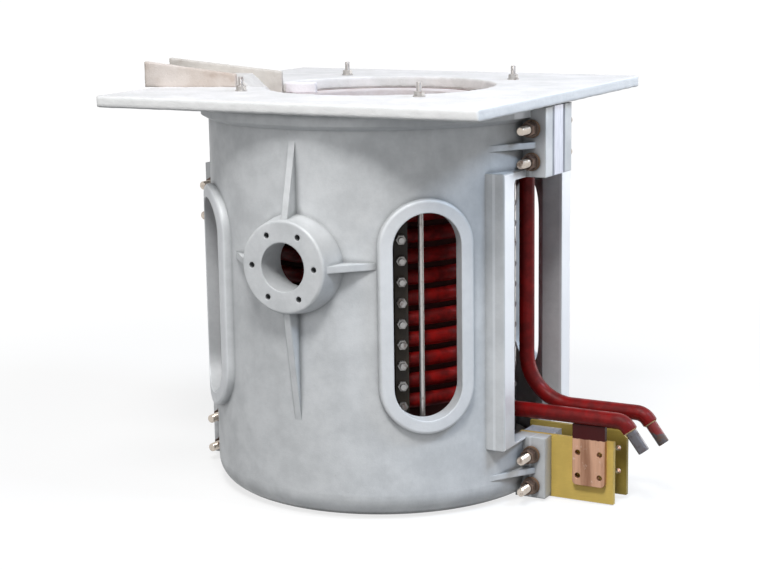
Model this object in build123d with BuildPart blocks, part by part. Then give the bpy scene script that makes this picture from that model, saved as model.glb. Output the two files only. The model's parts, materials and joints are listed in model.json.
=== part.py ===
from build123d import *

import math
import os

# Coreless induction melting furnace with a cast aluminium shell in two insulated halves.
# Frame: origin at the middle of the underside, +Z up. The trunnion bosses face -Y and +Y, the
# coil leads leave through the opening on +X, and the pouring spout points away to -X.
# All sizes are in millimetres and all angles in degrees.

os.makedirs("parts", exist_ok=True)

# Shell castings
shell_radius = 320.0
shell_wall = 20.0
shell_corner = 45.0
cast_round = 5.0
top_lip_reach = 14.0
top_lip_height = 22.0
top_lip_slope = 8.0

# Joint between the two halves, measured from its middle plane
spacer_thickness = 38.0
gasket_thickness = 9.0
gasket_recess = 1.0
flange_thickness = 30.0
flange_reach = 38.0
flange_foot = 5.0
flange_lower_height = 113.0
flange_right_height = 123.0
flange_right_drop = 4.0
flange_left_height = 123.0
flange_left_drop = 133.0
gusset_thickness = 11.0
gusset_angle = 26.0
gusset_setback = 19.0

# Joint bolting
flange_stud_diameter = 16.0
flange_stud_overhang = 50.0
flange_bolt_reach = 12.0
flange_bolt_pitch = 58.0
flange_bolt_drop = 5.0
bush_wall = 2.0
insulating_washer_diameter = 32.0
insulating_washer_thickness = 5.0
steel_washer_diameter = 30.0
steel_washer_thickness = 3.0
flange_nut_across_flats = 24.0
flange_nut_height = 13.0
bolt_clearance = 0.2

# Trunnion bosses
boss_height = 456.0
boss_stand = 40.0
boss_radius = 81.5
boss_flare = 10.0
boss_bore_diameter = 86.0
boss_circle_diameter = 124.0
boss_hole_diameter = 10.2
boss_hole_depth = 38.0
boss_hole_count = 6
boss_rib_thickness = 13.0
boss_rib_setback = 8.0
boss_rib_up = 213.0
boss_rib_down = 280.0
boss_rib_side_angle = 26.5

# Windows in the shell
window_right_angle = 48.0
window_left_angle = 135.0
window_height = 365.0
window_width = 122.0
window_length = 366.0
window_rim_width = 24.0
rim_proud = 14.0
rim_round = 6.0

# Opening for the leads
opening_half_width = 106.0
opening_low = 118.0
opening_corner = 8.0
opening_bar_width = 42.0
opening_bar_rise = 15.0
opening_bar_drop = 6.0
opening_bar_round = 3.0

# Water-cooled coil
coil_room = 78.0
coil_tube_diameter = 27.0
coil_tube_wall = 3.5
coil_pitch = 37.5
coil_turns = 12
coil_foot_gap = 22.0
coil_join_angle = 12.0
coil_block_gap = 30.0
coil_block_width = 36.0
coil_block_height = 38.0
coil_block_reach = 28.0
coil_block_inset = 12.5

# Leads and their hose nozzles
lead_diameter = 28.0
lead_wall = 3.5
lead_offset = 33.0
lead_drop_inset = 18.0
lead_drop_bend = 30.0
lead_foot_bend = 90.0
lead_front_reach = 141.0
lead_rear_reach = 154.0
lead_end_bend = 28.0
lead_end_run = 20.0
nozzle_slope = 53.0
nozzle_diameter = 21.0
nozzle_bore_diameter = 15.0
nozzle_length = 44.0
nozzle_groove = 1.0

# Coil posts, one every so often round the coil, and their studs
post_angles = [0.0, 54.5, 90.0, 125.5, 180.0, 234.5, 270.0, 305.5]
post_width = 24.0
post_depth = 24.0
coil_stud_diameter = 10.0
coil_stud_overhang = 6.0
coil_nut_across_flats = 16.0
coil_nut_height = 8.0
seat_clearance = 0.3

# Refractory parts
floor_board_thickness = 30.0
floor_board_gap = 8.0
base_block_height = 70.0
grout_thickness = 11.0
sleeve_thickness = 3.0
cavity_top_radius = 150.0
cavity_foot_radius = 136.0
cavity_floor = 55.0
cavity_corner = 40.0
top_ring_gap = 16.6
top_ring_height = 73.0

# Top board
board_left = 384.0
board_right = 372.0
board_half_depth = 359.0
board_thickness = 21.0
mouth_radius = 213.0

# Tie rods that hold the two boards together
tie_rod_angles = [47.0, 133.0, 227.0, 313.0]
tie_rod_inset = 34.0
tie_rod_diameter = 10.0
tie_rod_overhang = 16.0
tie_nut_across_flats = 16.0
tie_nut_height = 8.0
tie_washer_diameter = 22.0
tie_washer_thickness = 2.5
tie_recess_depth = 14.0

# Pouring spout
spout_angle = 198.0
spout_width = 96.0
spout_offset = 18.4
spout_plate_thickness = 12.0
spout_front_start = 267.0
spout_front_end = 443.0
spout_front_rise = 24.0
spout_front_lip = 48.0
spout_rear_start = 204.5
spout_rear_end = 427.0
spout_rear_rise = 20.5
spout_rear_lip = 47.0
spout_channel_end = 290.0
spout_tongue_length = 60.0
spout_mortar_start = 226.0
spout_mortar_toe = 5.0
spout_mortar_crest = 262.0
spout_mortar_thickness = 18.0

# Terminal boards and plates, measured outwards from the flanges
terminal_board_gap = 3.0
terminal_front_reach = 120.0
terminal_front_low = 2.0
terminal_front_high = 118.0
terminal_rear_reach = 127.0
terminal_rear_low = 8.0
terminal_rear_high = 127.0
terminal_rear_chamfer = 13.0
terminal_plate_width = 62.0
terminal_plate_low = 34.0
terminal_plate_corner = 8.0
terminal_plate_thickness = 10.0
terminal_front_offset = 76.0
terminal_rear_offset = 90.0
terminal_hole_diameter = 10.5
terminal_hole_pitch_x = 42.0
terminal_hole_pitch_z = 43.0
terminal_hole_height = 73.0

# Sizes that follow from the ones above
inner_radius = shell_radius - shell_wall
mid_wall_radius = shell_radius - shell_wall / 2
inner_corner = shell_corner - shell_wall
rim_radius = shell_radius + rim_proud
boss_face = shell_radius + boss_stand
coil_radius = inner_radius - coil_room
tie_rod_circle = inner_radius - tie_rod_inset
floor_board_radius = inner_radius - floor_board_gap
floor_board_low = shell_wall
floor_board_high = floor_board_low + floor_board_thickness
floor_board_chamfer = inner_corner - floor_board_gap + seat_clearance
base_block_high = floor_board_high + base_block_height
coil_height = base_block_high + coil_foot_gap + coil_block_height / 2
coil_tube_radius = coil_tube_diameter / 2
coil_outer = coil_radius + coil_tube_radius
coil_slope = math.degrees(math.atan(coil_pitch / (2 * math.pi * coil_radius)))
coil_face = coil_block_gap / 2
coil_bend_y = coil_tube_diameter - coil_face
coil_ease = coil_bend_y * math.tan(math.radians(coil_join_angle / 2))
coil_start_x = coil_radius - coil_ease
coil_ease_run = coil_radius * math.sin(math.radians(coil_join_angle)) - coil_bend_y
coil_ease_rise = coil_ease_run * math.tan(math.radians(coil_slope)) / 2
coil_last_angle = 360.0 * coil_turns - coil_join_angle
coil_join_height = coil_height + coil_ease_rise
coil_end_height = coil_join_height + coil_ease_rise
coil_end_height += coil_pitch * (coil_last_angle - coil_join_angle) / 360
top_ring_low = coil_end_height + coil_block_height / 2 + top_ring_gap
shell_height = top_ring_low + top_ring_height
spacer_face = spacer_thickness / 2
gasket_face = spacer_face + gasket_thickness
flange_face = gasket_face + flange_thickness
flange_outer = shell_radius + flange_reach
flange_bolt_x = shell_radius + flange_bolt_reach
terminal_board_start = floor_board_radius + terminal_board_gap
terminal_front_end = flange_outer + terminal_front_reach
terminal_front_x = flange_outer + terminal_front_offset
terminal_rear_end = flange_outer + terminal_rear_reach
terminal_rear_x = flange_outer + terminal_rear_offset
lead_corner_front = flange_outer + lead_front_reach
lead_corner_rear = flange_outer + lead_rear_reach
flange_right_high = shell_height - flange_right_drop
flange_right_low = flange_right_high - flange_right_height
flange_left_high = shell_height - flange_left_drop
flange_left_low = flange_left_high - flange_left_height
flange_lower_high = flange_foot + flange_lower_height
flange_blocks = [
    (1, flange_foot, flange_lower_high),
    (1, flange_right_low, flange_right_high),
    (-1, flange_foot, flange_lower_high),
    (-1, flange_left_low, flange_left_high),
]
opening_high = flange_right_low
opening_middle = (opening_low + opening_high) / 2
opening_height = opening_high - opening_low
opening_bar_low = opening_low - opening_bar_drop
opening_bar_high = opening_high + opening_bar_rise
coil_block_outer = coil_radius + coil_block_reach
lead_drop_x = inner_radius - lead_drop_inset
lead_radius = lead_diameter / 2
post_inner = coil_outer + seat_clearance
post_outer = post_inner + post_depth
base_block_radius = post_inner - seat_clearance
grout_outer = coil_start_x - coil_tube_radius - seat_clearance
grout_inner = grout_outer - grout_thickness
sleeve_outer = grout_inner - seat_clearance
sleeve_inner = sleeve_outer - sleeve_thickness
lining_radius = sleeve_inner - seat_clearance
board_high = shell_height + board_thickness
nozzle_drop = math.radians(nozzle_slope)
nozzle_way = Vector(math.cos(nozzle_drop), 0, -math.sin(nozzle_drop))
spout_turn = math.radians(spout_angle)
spout_way = Vector(math.cos(spout_turn), math.sin(spout_turn), 0)
spout_side = Vector(math.sin(spout_turn), -math.cos(spout_turn), 0)
spout_inner = spout_offset - spout_width / 2
spout_near = spout_inner - spout_plate_thickness
spout_far = spout_inner + spout_width
spout_far_edge = spout_far + spout_plate_thickness


def bolt_heights(low, high):
    """Heights of the two bolts in a flange block, a little below its middle."""
    middle = (low + high) / 2 - flange_bolt_drop
    return [middle - flange_bolt_pitch / 2, middle + flange_bolt_pitch / 2]


def radial_plane(angle, radius, height):
    """A plane facing outwards at one azimuth, with its own Y upwards."""
    turn = math.radians(angle)
    outward = Vector(math.cos(turn), math.sin(turn), 0)
    sideways = Vector(-math.sin(turn), math.cos(turn), 0)
    return Plane(origin=outward * radius + Vector(0, 0, height), x_dir=sideways, z_dir=outward)


def bolt_planes(distance):
    """Planes square to every joint bolt, at one distance from the middle plane, facing -Y."""
    return [
        Plane.XZ.offset(distance).shift_origin(Vector(x, -distance, z)) for x, z in bolt_places
    ]


def coil_stud_planes(angle, radius):
    """Planes facing outwards where the coil passes one azimuth."""
    planes = []
    passing = angle
    while passing <= 360.0 * coil_turns:
        on_coil = min(max(passing, coil_join_angle), coil_last_angle)
        height = coil_join_height + coil_pitch * (on_coil - coil_join_angle) / 360
        planes.append(radial_plane(angle, radius, height))
        passing += 360.0
    return planes


def export(piece, name):
    """Labels one finished piece and writes it."""
    piece.part.label = name
    export_step(piece.part, f"parts/{name}.step")


bolt_places = [
    (side * flange_bolt_x, height)
    for side, low, high in flange_blocks
    for height in bolt_heights(low, high)
]

# Room inside the shell
with BuildPart() as hollow:
    with BuildSketch(Plane.XY.offset(shell_wall)):
        Circle(inner_radius)
    extrude(amount=shell_height)
    fillet(hollow.edges().sort_by(Axis.Z)[0], inner_corner)

# Pad with a flat face, which leaves an upright bar on each side of the opening for the leads
with BuildPart() as opening_pad:
    with BuildSketch(Plane.YZ.offset(shell_radius)):
        with Locations((0, (opening_bar_low + opening_bar_high) / 2)):
            Rectangle(
                2 * (opening_half_width + opening_bar_width),
                opening_bar_high - opening_bar_low,
            )
    extrude(amount=-opening_half_width)
    fillet(opening_pad.faces().sort_by(Axis.X)[-1].edges(), opening_bar_round)

# The shell's section round the joint, with the flange blocks and without the windows
with BuildPart() as casting:
    with BuildSketch(Plane.XY):
        Circle(shell_radius)
    extrude(amount=shell_height)
    fillet(casting.edges().sort_by(Axis.Z)[0], shell_corner)
    for side, low, high in flange_blocks:
        with BuildSketch(Plane.XY.offset(low)):
            with Locations((side * (flange_outer + inner_radius) / 2, 0)):
                Rectangle(flange_outer - inner_radius, 2 * flange_face)
        extrude(amount=high - low)
    add(opening_pad.part)
    with BuildSketch(Plane.XZ):
        with BuildLine():
            Polyline(
                (mid_wall_radius, shell_height),
                (shell_radius + top_lip_reach, shell_height),
                (shell_radius + top_lip_reach, shell_height - top_lip_height),
                (shell_radius, shell_height - top_lip_height - top_lip_slope),
                (mid_wall_radius, shell_height - top_lip_height - top_lip_slope),
                close=True,
            )
        make_face()
    revolve(axis=Axis.Z)
    add(hollow.part, mode=Mode.SUBTRACT)
    with BuildSketch(Plane.YZ):
        with Locations((0, opening_middle)):
            RectangleRounded(2 * opening_half_width, opening_height, opening_corner)
    extrude(amount=2 * shell_radius, mode=Mode.SUBTRACT)
    bush_hole_radius = flange_stud_diameter / 2 + bush_wall + 2 * bolt_clearance
    with BuildSketch(*bolt_planes(-2 * flange_face)):
        Circle(bush_hole_radius)
    extrude(amount=4 * flange_face, mode=Mode.SUBTRACT)

# Window rim: a racetrack pad that follows the shell's curve
with BuildPart() as window_rim:
    with BuildSketch(Plane.YZ.offset(mid_wall_radius - window_rim_width)):
        with Locations((0, window_height)):
            SlotOverall(
                window_length + 2 * window_rim_width,
                window_width + 2 * window_rim_width,
                rotation=90,
            )
    extrude(amount=shell_radius)
    with BuildSketch(Plane.XY):
        Circle(rim_radius)
    extrude(amount=shell_height, mode=Mode.INTERSECT)
    fillet(window_rim.faces().sort_by(Axis.X)[-1].edges(), rim_round)

# Trunnion boss: a flared round pad, with four ribs that die away into the shell
with BuildPart() as trunnion_boss:
    with BuildSketch(Plane.XY.offset(boss_height)):
        with BuildLine():
            Polyline(
                (0, -boss_face),
                (boss_radius, -boss_face),
                (boss_radius + boss_flare, -inner_radius),
                (0, -inner_radius),
                close=True,
            )
        make_face()
    revolve(axis=Axis((0, 0, boss_height), (0, 1, 0)))
    fillet(trunnion_boss.edges().sort_by(Axis.Y)[0], cast_round)
    rib_top = boss_face - boss_rib_setback
    with BuildSketch(Plane.YZ):
        with BuildLine():
            Polyline(
                (-mid_wall_radius, boss_height + boss_rib_up),
                (-shell_radius, boss_height + boss_rib_up),
                (-rib_top, boss_height + boss_radius),
                (-rib_top, boss_height - boss_radius),
                (-shell_radius, boss_height - boss_rib_down),
                (-mid_wall_radius, boss_height - boss_rib_down),
                close=True,
            )
        make_face()
    extrude(amount=boss_rib_thickness / 2, both=True)
    rib_reach = math.radians(boss_rib_side_angle)
    with BuildSketch(Plane.XY.offset(boss_height)):
        with BuildLine():
            Polyline(
                (-mid_wall_radius * math.sin(rib_reach), -mid_wall_radius * math.cos(rib_reach)),
                (-shell_radius * math.sin(rib_reach), -shell_radius * math.cos(rib_reach)),
                (-boss_radius, -rib_top),
                (boss_radius, -rib_top),
                (shell_radius * math.sin(rib_reach), -shell_radius * math.cos(rib_reach)),
                (mid_wall_radius * math.sin(rib_reach), -mid_wall_radius * math.cos(rib_reach)),
                close=True,
            )
        make_face()
    extrude(amount=boss_rib_thickness / 2, both=True)

# Front half of the shell, on the -Y side
with BuildPart() as shell_half_front:
    add(casting.part)
    split(bisect_by=Plane.XZ.offset(gasket_face), keep=Keep.TOP)
    for angle in (-window_right_angle, -window_left_angle):
        add(window_rim.part, rotation=(0, 0, angle))
    add(trunnion_boss.part)
    for side, low, high in flange_blocks:
        middle = sum(bolt_heights(low, high)) / 2
        turn = math.radians(gusset_angle)
        with BuildSketch(Plane.XY.offset(middle - gusset_thickness / 2)):
            with BuildLine():
                Polyline(
                    (side * (flange_outer - gusset_setback), -flange_face),
                    (side * shell_radius * math.cos(turn), -shell_radius * math.sin(turn)),
                    (side * mid_wall_radius * math.cos(turn), -mid_wall_radius * math.sin(turn)),
                    (side * mid_wall_radius, -flange_face),
                    close=True,
                )
            make_face()
        extrude(amount=gusset_thickness)
    add(hollow.part, mode=Mode.SUBTRACT)
    for angle in (-window_right_angle, -window_left_angle):
        with BuildSketch(radial_plane(angle, 0, window_height)):
            SlotOverall(window_length, window_width, rotation=90)
        extrude(amount=2 * shell_radius, mode=Mode.SUBTRACT)
    with BuildSketch(Plane.XZ.offset(boss_face)):
        with Locations((0, boss_height)):
            Circle(boss_bore_diameter / 2)
    extrude(amount=-boss_face, mode=Mode.SUBTRACT)
    with BuildSketch(Plane.XZ.offset(boss_face)):
        with Locations((0, boss_height)):
            with PolarLocations(boss_circle_diameter / 2, boss_hole_count):
                Circle(boss_hole_diameter / 2)
    extrude(amount=-boss_hole_depth, mode=Mode.SUBTRACT)
export(shell_half_front, "shell_half_front")

# Rear half of the shell, its mirror image
with BuildPart() as shell_half_rear:
    mirror(shell_half_front.part, about=Plane.XZ)
export(shell_half_rear, "shell_half_rear")


def joint_slice(near, far, upper):
    """A slice of the shell's section across the joint, above the opening or the rest of it."""
    with BuildPart() as piece:
        add(casting.part)
        split(bisect_by=Plane.XZ.offset(-near), keep=Keep.BOTTOM)
        split(bisect_by=Plane.XZ.offset(-far), keep=Keep.TOP)
        with BuildSketch(Plane.XY.offset(opening_middle)):
            with Locations((flange_outer, 0)):
                Rectangle(2 * shell_radius, 4 * flange_face)
        extrude(amount=shell_height, mode=Mode.INTERSECT if upper else Mode.SUBTRACT)
    return piece


# Aluminium spacers in the middle of the joint
joint_spacer_lower = joint_slice(-spacer_face, spacer_face, False)
export(joint_spacer_lower, "joint_spacer_lower")
joint_spacer_upper = joint_slice(-spacer_face, spacer_face, True)
export(joint_spacer_upper, "joint_spacer_upper")

# Insulating gaskets on both sides of the spacers, which leave room for the terminal boards
gasket_sides = [
    ("front", -gasket_face, -spacer_face, terminal_front_high),
    ("rear", spacer_face, gasket_face, terminal_rear_high),
]
for place, near, far, room in gasket_sides:
    upper_gasket = joint_slice(near, far, True)
    export(upper_gasket, f"joint_gasket_upper_{place}")
    plain_slice = joint_slice(near, far, False)
    with BuildPart() as lower_gasket:
        add(plain_slice.part)
        with BuildSketch(Plane.XY):
            with Locations((terminal_board_start + shell_radius, 0)):
                Rectangle(2 * shell_radius, 4 * flange_face)
        extrude(amount=room, mode=Mode.SUBTRACT)
        with BuildSketch(Plane.XY):
            Rectangle(4 * shell_radius, 4 * shell_radius)
        extrude(amount=gasket_recess, mode=Mode.SUBTRACT)
    export(lower_gasket, f"joint_gasket_lower_{place}")

# Joint studs, through all five layers
with BuildPart() as flange_studs:
    stud_half = flange_face + flange_stud_overhang
    with BuildSketch(*bolt_planes(-stud_half)):
        Circle(flange_stud_diameter / 2)
    extrude(amount=2 * stud_half)
    chamfer(flange_studs.edges().filter_by(GeomType.CIRCLE), flange_stud_diameter / 10)
export(flange_studs, "flange_studs")

# Insulating bushes round the studs
stud_way = flange_stud_diameter / 2 + bolt_clearance
with BuildPart() as flange_bushes:
    with BuildSketch(*bolt_planes(-flange_face)):
        Circle(stud_way + bush_wall)
        Circle(stud_way, mode=Mode.SUBTRACT)
    extrude(amount=2 * flange_face)
export(flange_bushes, "flange_bushes")


def joint_rings(start, thickness, outer):
    """A ring on every joint stud, in front of the joint and behind it."""
    with BuildPart() as rings:
        with BuildSketch(*bolt_planes(start)):
            Circle(outer / 2)
            Circle(stud_way, mode=Mode.SUBTRACT)
        extrude(amount=thickness)
        mirror(about=Plane.XZ)
    return rings


insulating_washers = joint_rings(
    flange_face, insulating_washer_thickness, insulating_washer_diameter
)
export(insulating_washers, "flange_insulating_washers")
washer_start = flange_face + insulating_washer_thickness
steel_washers = joint_rings(washer_start, steel_washer_thickness, steel_washer_diameter)
export(steel_washers, "flange_steel_washers")
with BuildPart() as flange_nuts:
    with BuildSketch(*bolt_planes(washer_start + steel_washer_thickness)):
        RegularPolygon(flange_nut_across_flats / 2, 6, major_radius=False)
        Circle(stud_way, mode=Mode.SUBTRACT)
    extrude(amount=flange_nut_height)
    mirror(about=Plane.XZ)
export(flange_nuts, "flange_nuts")

# Glass-epoxy terminal boards, clamped in the joint
terminals = [
    (
        "front",
        -1,
        terminal_front_end,
        terminal_front_low,
        terminal_front_high,
        terminal_front_x,
    ),
    ("rear", 1, terminal_rear_end, terminal_rear_low, terminal_rear_high, terminal_rear_x),
]
for place, side, reach, low, high, hole_x in terminals:
    with BuildPart() as terminal_board:
        with BuildSketch(Plane.XZ.offset(-side * spacer_face)):
            with Locations(((terminal_board_start + reach) / 2, (low + high) / 2)):
                Rectangle(reach - terminal_board_start, high - low)
            with Locations(*[spot for spot in bolt_places if spot[0] > 0 and spot[1] < high]):
                Circle(bush_hole_radius, mode=Mode.SUBTRACT)
            with Locations((hole_x, terminal_hole_height)):
                with GridLocations(terminal_hole_pitch_x, terminal_hole_pitch_z, 2, 2):
                    Circle(terminal_hole_diameter / 2, mode=Mode.SUBTRACT)
        extrude(amount=-side * gasket_thickness)
        if side > 0:
            outer_top = terminal_board.edges().filter_by(Axis.Y).sort_by(Axis.X)[-2:]
            chamfer(outer_top.sort_by(Axis.Z)[-1], terminal_rear_chamfer)
    export(terminal_board, f"terminal_board_{place}")

    # Copper plate on the board, whose tab reaches up to the lead
    with BuildPart() as terminal_plate:
        tab_high = coil_height - lead_radius - bolt_clearance
        with BuildSketch(Plane.XZ.offset(-side * gasket_face)):
            with Locations((hole_x, (terminal_plate_low + tab_high) / 2)):
                Rectangle(terminal_plate_width, tab_high - terminal_plate_low)
            with Locations((hole_x, terminal_hole_height)):
                with GridLocations(terminal_hole_pitch_x, terminal_hole_pitch_z, 2, 2):
                    Circle(terminal_hole_diameter / 2, mode=Mode.SUBTRACT)
        extrude(amount=-side * terminal_plate_thickness)
        foot_edges = terminal_plate.edges().filter_by(Axis.Y).filter_by(GeomType.LINE)
        fillet(foot_edges.sort_by(Axis.Z)[:2], terminal_plate_corner)
    export(terminal_plate, f"terminal_plate_{place}")


def coil_point(angle):
    """A point on the coil's centre line, by its running angle."""
    turn = math.radians(angle)
    height = coil_join_height + coil_pitch * (angle - coil_join_angle) / 360
    return Vector(coil_radius * math.cos(turn), coil_radius * math.sin(turn), height)


def coil_heading(angle):
    """The direction of the coil's centre line there."""
    turn = math.radians(angle)
    rise = math.tan(math.radians(coil_slope))
    return Vector(-math.sin(turn), math.cos(turn), rise).normalized()


def biarc(start, start_way, end, end_way):
    """Two arcs, tangent to each other, from one point and direction to another."""
    gap = end - start
    ways = start_way + end_way
    square = ways.dot(ways) - 4
    linear = gap.dot(ways)
    root = math.sqrt(linear * linear - square * gap.dot(gap))
    reach = (linear - root) / square
    first_corner = start + start_way * reach
    second_corner = end - end_way * reach
    middle = (first_corner + second_corner) / 2
    TangentArc(start, middle, tangent=start_way)
    TangentArc(middle, end, tangent=second_corner - first_corner)


# Induction coil: one tube, with straight ends square to the end blocks
coil_entry = Vector(coil_start_x, -coil_face, coil_height)
coil_first_bend = Vector(coil_start_x, coil_bend_y, coil_height)
coil_last_bend = Vector(coil_start_x, -coil_bend_y, coil_end_height)
coil_exit = Vector(coil_start_x, coil_face, coil_end_height)
coil_biarcs = 2 * coil_turns
coil_step = (coil_last_angle - coil_join_angle) / coil_biarcs
with BuildPart() as induction_coil:
    with BuildLine() as coil_path:
        along = Vector(0, 1, 0)
        Line(coil_entry, coil_first_bend)
        biarc(coil_first_bend, along, coil_point(coil_join_angle), coil_heading(coil_join_angle))
        for count in range(coil_biarcs):
            here = coil_join_angle + count * coil_step
            there = here + coil_step
            biarc(coil_point(here), coil_heading(here), coil_point(there), coil_heading(there))
        biarc(coil_point(coil_last_angle), coil_heading(coil_last_angle), coil_last_bend, along)
        Line(coil_last_bend, coil_exit)
    with BuildSketch(Plane(origin=coil_entry, z_dir=along)):
        Circle(coil_tube_radius)
        Circle(coil_tube_radius - coil_tube_wall, mode=Mode.SUBTRACT)
    sweep()
export(induction_coil, "induction_coil")

samples_per_arc = 24
coil_samples = []
length_so_far = 0.0
for edge in coil_path.edges():
    for count in range(samples_per_arc):
        share = count / samples_per_arc
        coil_samples.append((length_so_far + share * edge.length, edge.position_at(share)))
    length_so_far += edge.length
half_turn = math.pi * coil_radius
least = min(
    (spot - other).length
    for place, (run, spot) in enumerate(coil_samples)
    for other_run, other in coil_samples[place:]
    if other_run - run > half_turn
)
print(f"coil: {coil_turns} turns, least gap to itself {least - coil_tube_diameter:.2f} mm")

# Blocks that join the coil's ends to the leads
coil_ends = [
    ("lower", -1, coil_height, lead_corner_front),
    ("upper", 1, coil_end_height, lead_corner_rear),
]
block_start = coil_start_x - coil_block_inset
for place, side, height, corner_x in coil_ends:
    with BuildPart() as end_block:
        with BuildSketch(Plane.XY.offset(height - coil_block_height / 2)):
            with Locations(
                (
                    (block_start + coil_block_outer) / 2,
                    side * (coil_face + coil_block_width / 2),
                )
            ):
                Rectangle(coil_block_outer - block_start, coil_block_width)
        extrude(amount=coil_block_height)
        fillet(end_block.edges().filter_by(Axis.X), coil_block_height / 12)
    export(end_block, f"coil_end_block_{place}")

    # Lead from the block out through the opening, with its end turned down
    corner = Vector(corner_x, side * lead_offset, coil_height)
    lead_end = corner + nozzle_way * lead_end_run
    lead_start = Vector(coil_block_outer, side * lead_offset, height)
    route = [lead_start, corner, lead_end]
    bends = [lead_end_bend]
    if side > 0:
        drop_top = Vector(lead_drop_x, side * lead_offset, height)
        drop_foot = Vector(lead_drop_x, side * lead_offset, coil_height)
        route = [lead_start, drop_top, drop_foot, corner, lead_end]
        bends = [lead_drop_bend, lead_foot_bend, lead_end_bend]
    with BuildPart() as lead:
        with BuildLine():
            FilletPolyline(*route, radius=bends)
        with BuildSketch(Plane(origin=lead_start, z_dir=(1, 0, 0))):
            Circle(lead_radius)
            Circle(lead_radius - lead_wall, mode=Mode.SUBTRACT)
        sweep()
    export(lead, f"coil_lead_{place}")

    # Hose nozzle on the lead's end, with grooves that grip the hose
    with BuildPart() as nozzle:
        with BuildSketch(Plane(origin=lead_end, z_dir=nozzle_way)):
            Circle(nozzle_diameter / 2)
            Circle(nozzle_bore_diameter / 2, mode=Mode.SUBTRACT)
        extrude(amount=nozzle_length)
        end_edges = nozzle.edges().filter_by(GeomType.CIRCLE).sort_by(Axis.Z)
        chamfer(end_edges.group_by(SortBy.RADIUS)[-1].sort_by(Axis.Z)[0], nozzle_groove)
    export(nozzle, f"hose_nozzle_{place}")

# Posts round the coil, drilled for the studs
for number, angle in enumerate(post_angles, start=1):
    with BuildPart() as coil_post:
        with BuildSketch(radial_plane(angle, post_inner, floor_board_high)):
            with Locations((0, (shell_height - floor_board_high) / 2)):
                Rectangle(post_width, shell_height - floor_board_high)
        extrude(amount=post_depth)
        with BuildSketch(*coil_stud_planes(angle, post_inner)):
            Circle(coil_stud_diameter / 2 + bolt_clearance)
        extrude(amount=post_depth, mode=Mode.SUBTRACT)
    export(coil_post, f"coil_post_{number}")

# Studs that hold every turn to every post, and their nuts
with BuildPart() as coil_studs:
    for angle in post_angles:
        with BuildSketch(*coil_stud_planes(angle, post_inner)):
            Circle(coil_stud_diameter / 2)
        extrude(amount=post_depth + coil_nut_height + coil_stud_overhang)
export(coil_studs, "coil_studs")
with BuildPart() as coil_stud_nuts:
    for angle in post_angles:
        with BuildSketch(*coil_stud_planes(angle, post_outer)):
            RegularPolygon(coil_nut_across_flats / 2, 6, major_radius=False)
            Circle(coil_stud_diameter / 2 + bolt_clearance, mode=Mode.SUBTRACT)
        extrude(amount=coil_nut_height)
export(coil_stud_nuts, "coil_stud_nuts")

# Floor board inside the shell, with recesses below for the tie rods' nuts
with BuildPart() as floor_board:
    with BuildSketch(Plane.XY.offset(floor_board_low)):
        Circle(floor_board_radius)
    extrude(amount=floor_board_thickness)
    chamfer(floor_board.edges().sort_by(Axis.Z)[0], floor_board_chamfer)
    with BuildSketch(Plane.XY.offset(floor_board_low)):
        for angle in tie_rod_angles:
            with Locations(radial_plane(angle, tie_rod_circle, 0).origin):
                Circle(tie_rod_diameter / 2 + bolt_clearance)
    extrude(amount=floor_board_thickness, mode=Mode.SUBTRACT)
    with BuildSketch(Plane.XY.offset(floor_board_low)):
        for angle in tie_rod_angles:
            with Locations(radial_plane(angle, tie_rod_circle, 0).origin):
                Circle(tie_washer_diameter / 2 + bolt_clearance)
    extrude(amount=tie_recess_depth, mode=Mode.SUBTRACT)
export(floor_board, "floor_board")

# Refractory block under the coil and the lining
with BuildPart() as base_block:
    with BuildSketch(Plane.XY.offset(floor_board_high)):
        Circle(base_block_radius)
    extrude(amount=base_block_height)
export(base_block, "base_block")


def refractory_tube(outer, inner, low, high):
    """A plain upright tube."""
    with BuildPart() as tube:
        with BuildSketch(Plane.XY.offset(low)):
            Circle(outer)
            Circle(inner, mode=Mode.SUBTRACT)
        extrude(amount=high - low)
    return tube


# Grout on the inside of the coil, and the slip sleeve between it and the lining
coil_grout = refractory_tube(grout_outer, grout_inner, base_block_high, shell_height)
export(coil_grout, "coil_grout")
lining_sleeve = refractory_tube(sleeve_outer, sleeve_inner, base_block_high, shell_height)
export(lining_sleeve, "lining_sleeve")

# Refractory ring above the coil, between the grout and the posts
top_ring = refractory_tube(
    base_block_radius,
    grout_outer + seat_clearance,
    top_ring_low,
    shell_height,
)
export(top_ring, "top_ring")

# Rammed lining, with the melting chamber in it
with BuildPart() as rammed_lining:
    with BuildSketch(Plane.XY.offset(base_block_high)):
        Circle(lining_radius)
    extrude(amount=shell_height - base_block_high)
    with BuildSketch(Plane.XY.offset(base_block_high + cavity_floor)):
        Circle(cavity_foot_radius)
    with BuildSketch(Plane.XY.offset(shell_height)):
        Circle(cavity_top_radius)
    loft(mode=Mode.SUBTRACT)
    chamber_floor = rammed_lining.edges().filter_by(GeomType.CIRCLE)
    fillet(chamber_floor.filter_by_position(
        Axis.Z,
        base_block_high + cavity_floor / 2,
        base_block_high + 2 * cavity_floor,
    ), cavity_corner)
export(rammed_lining, "rammed_lining")

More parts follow.
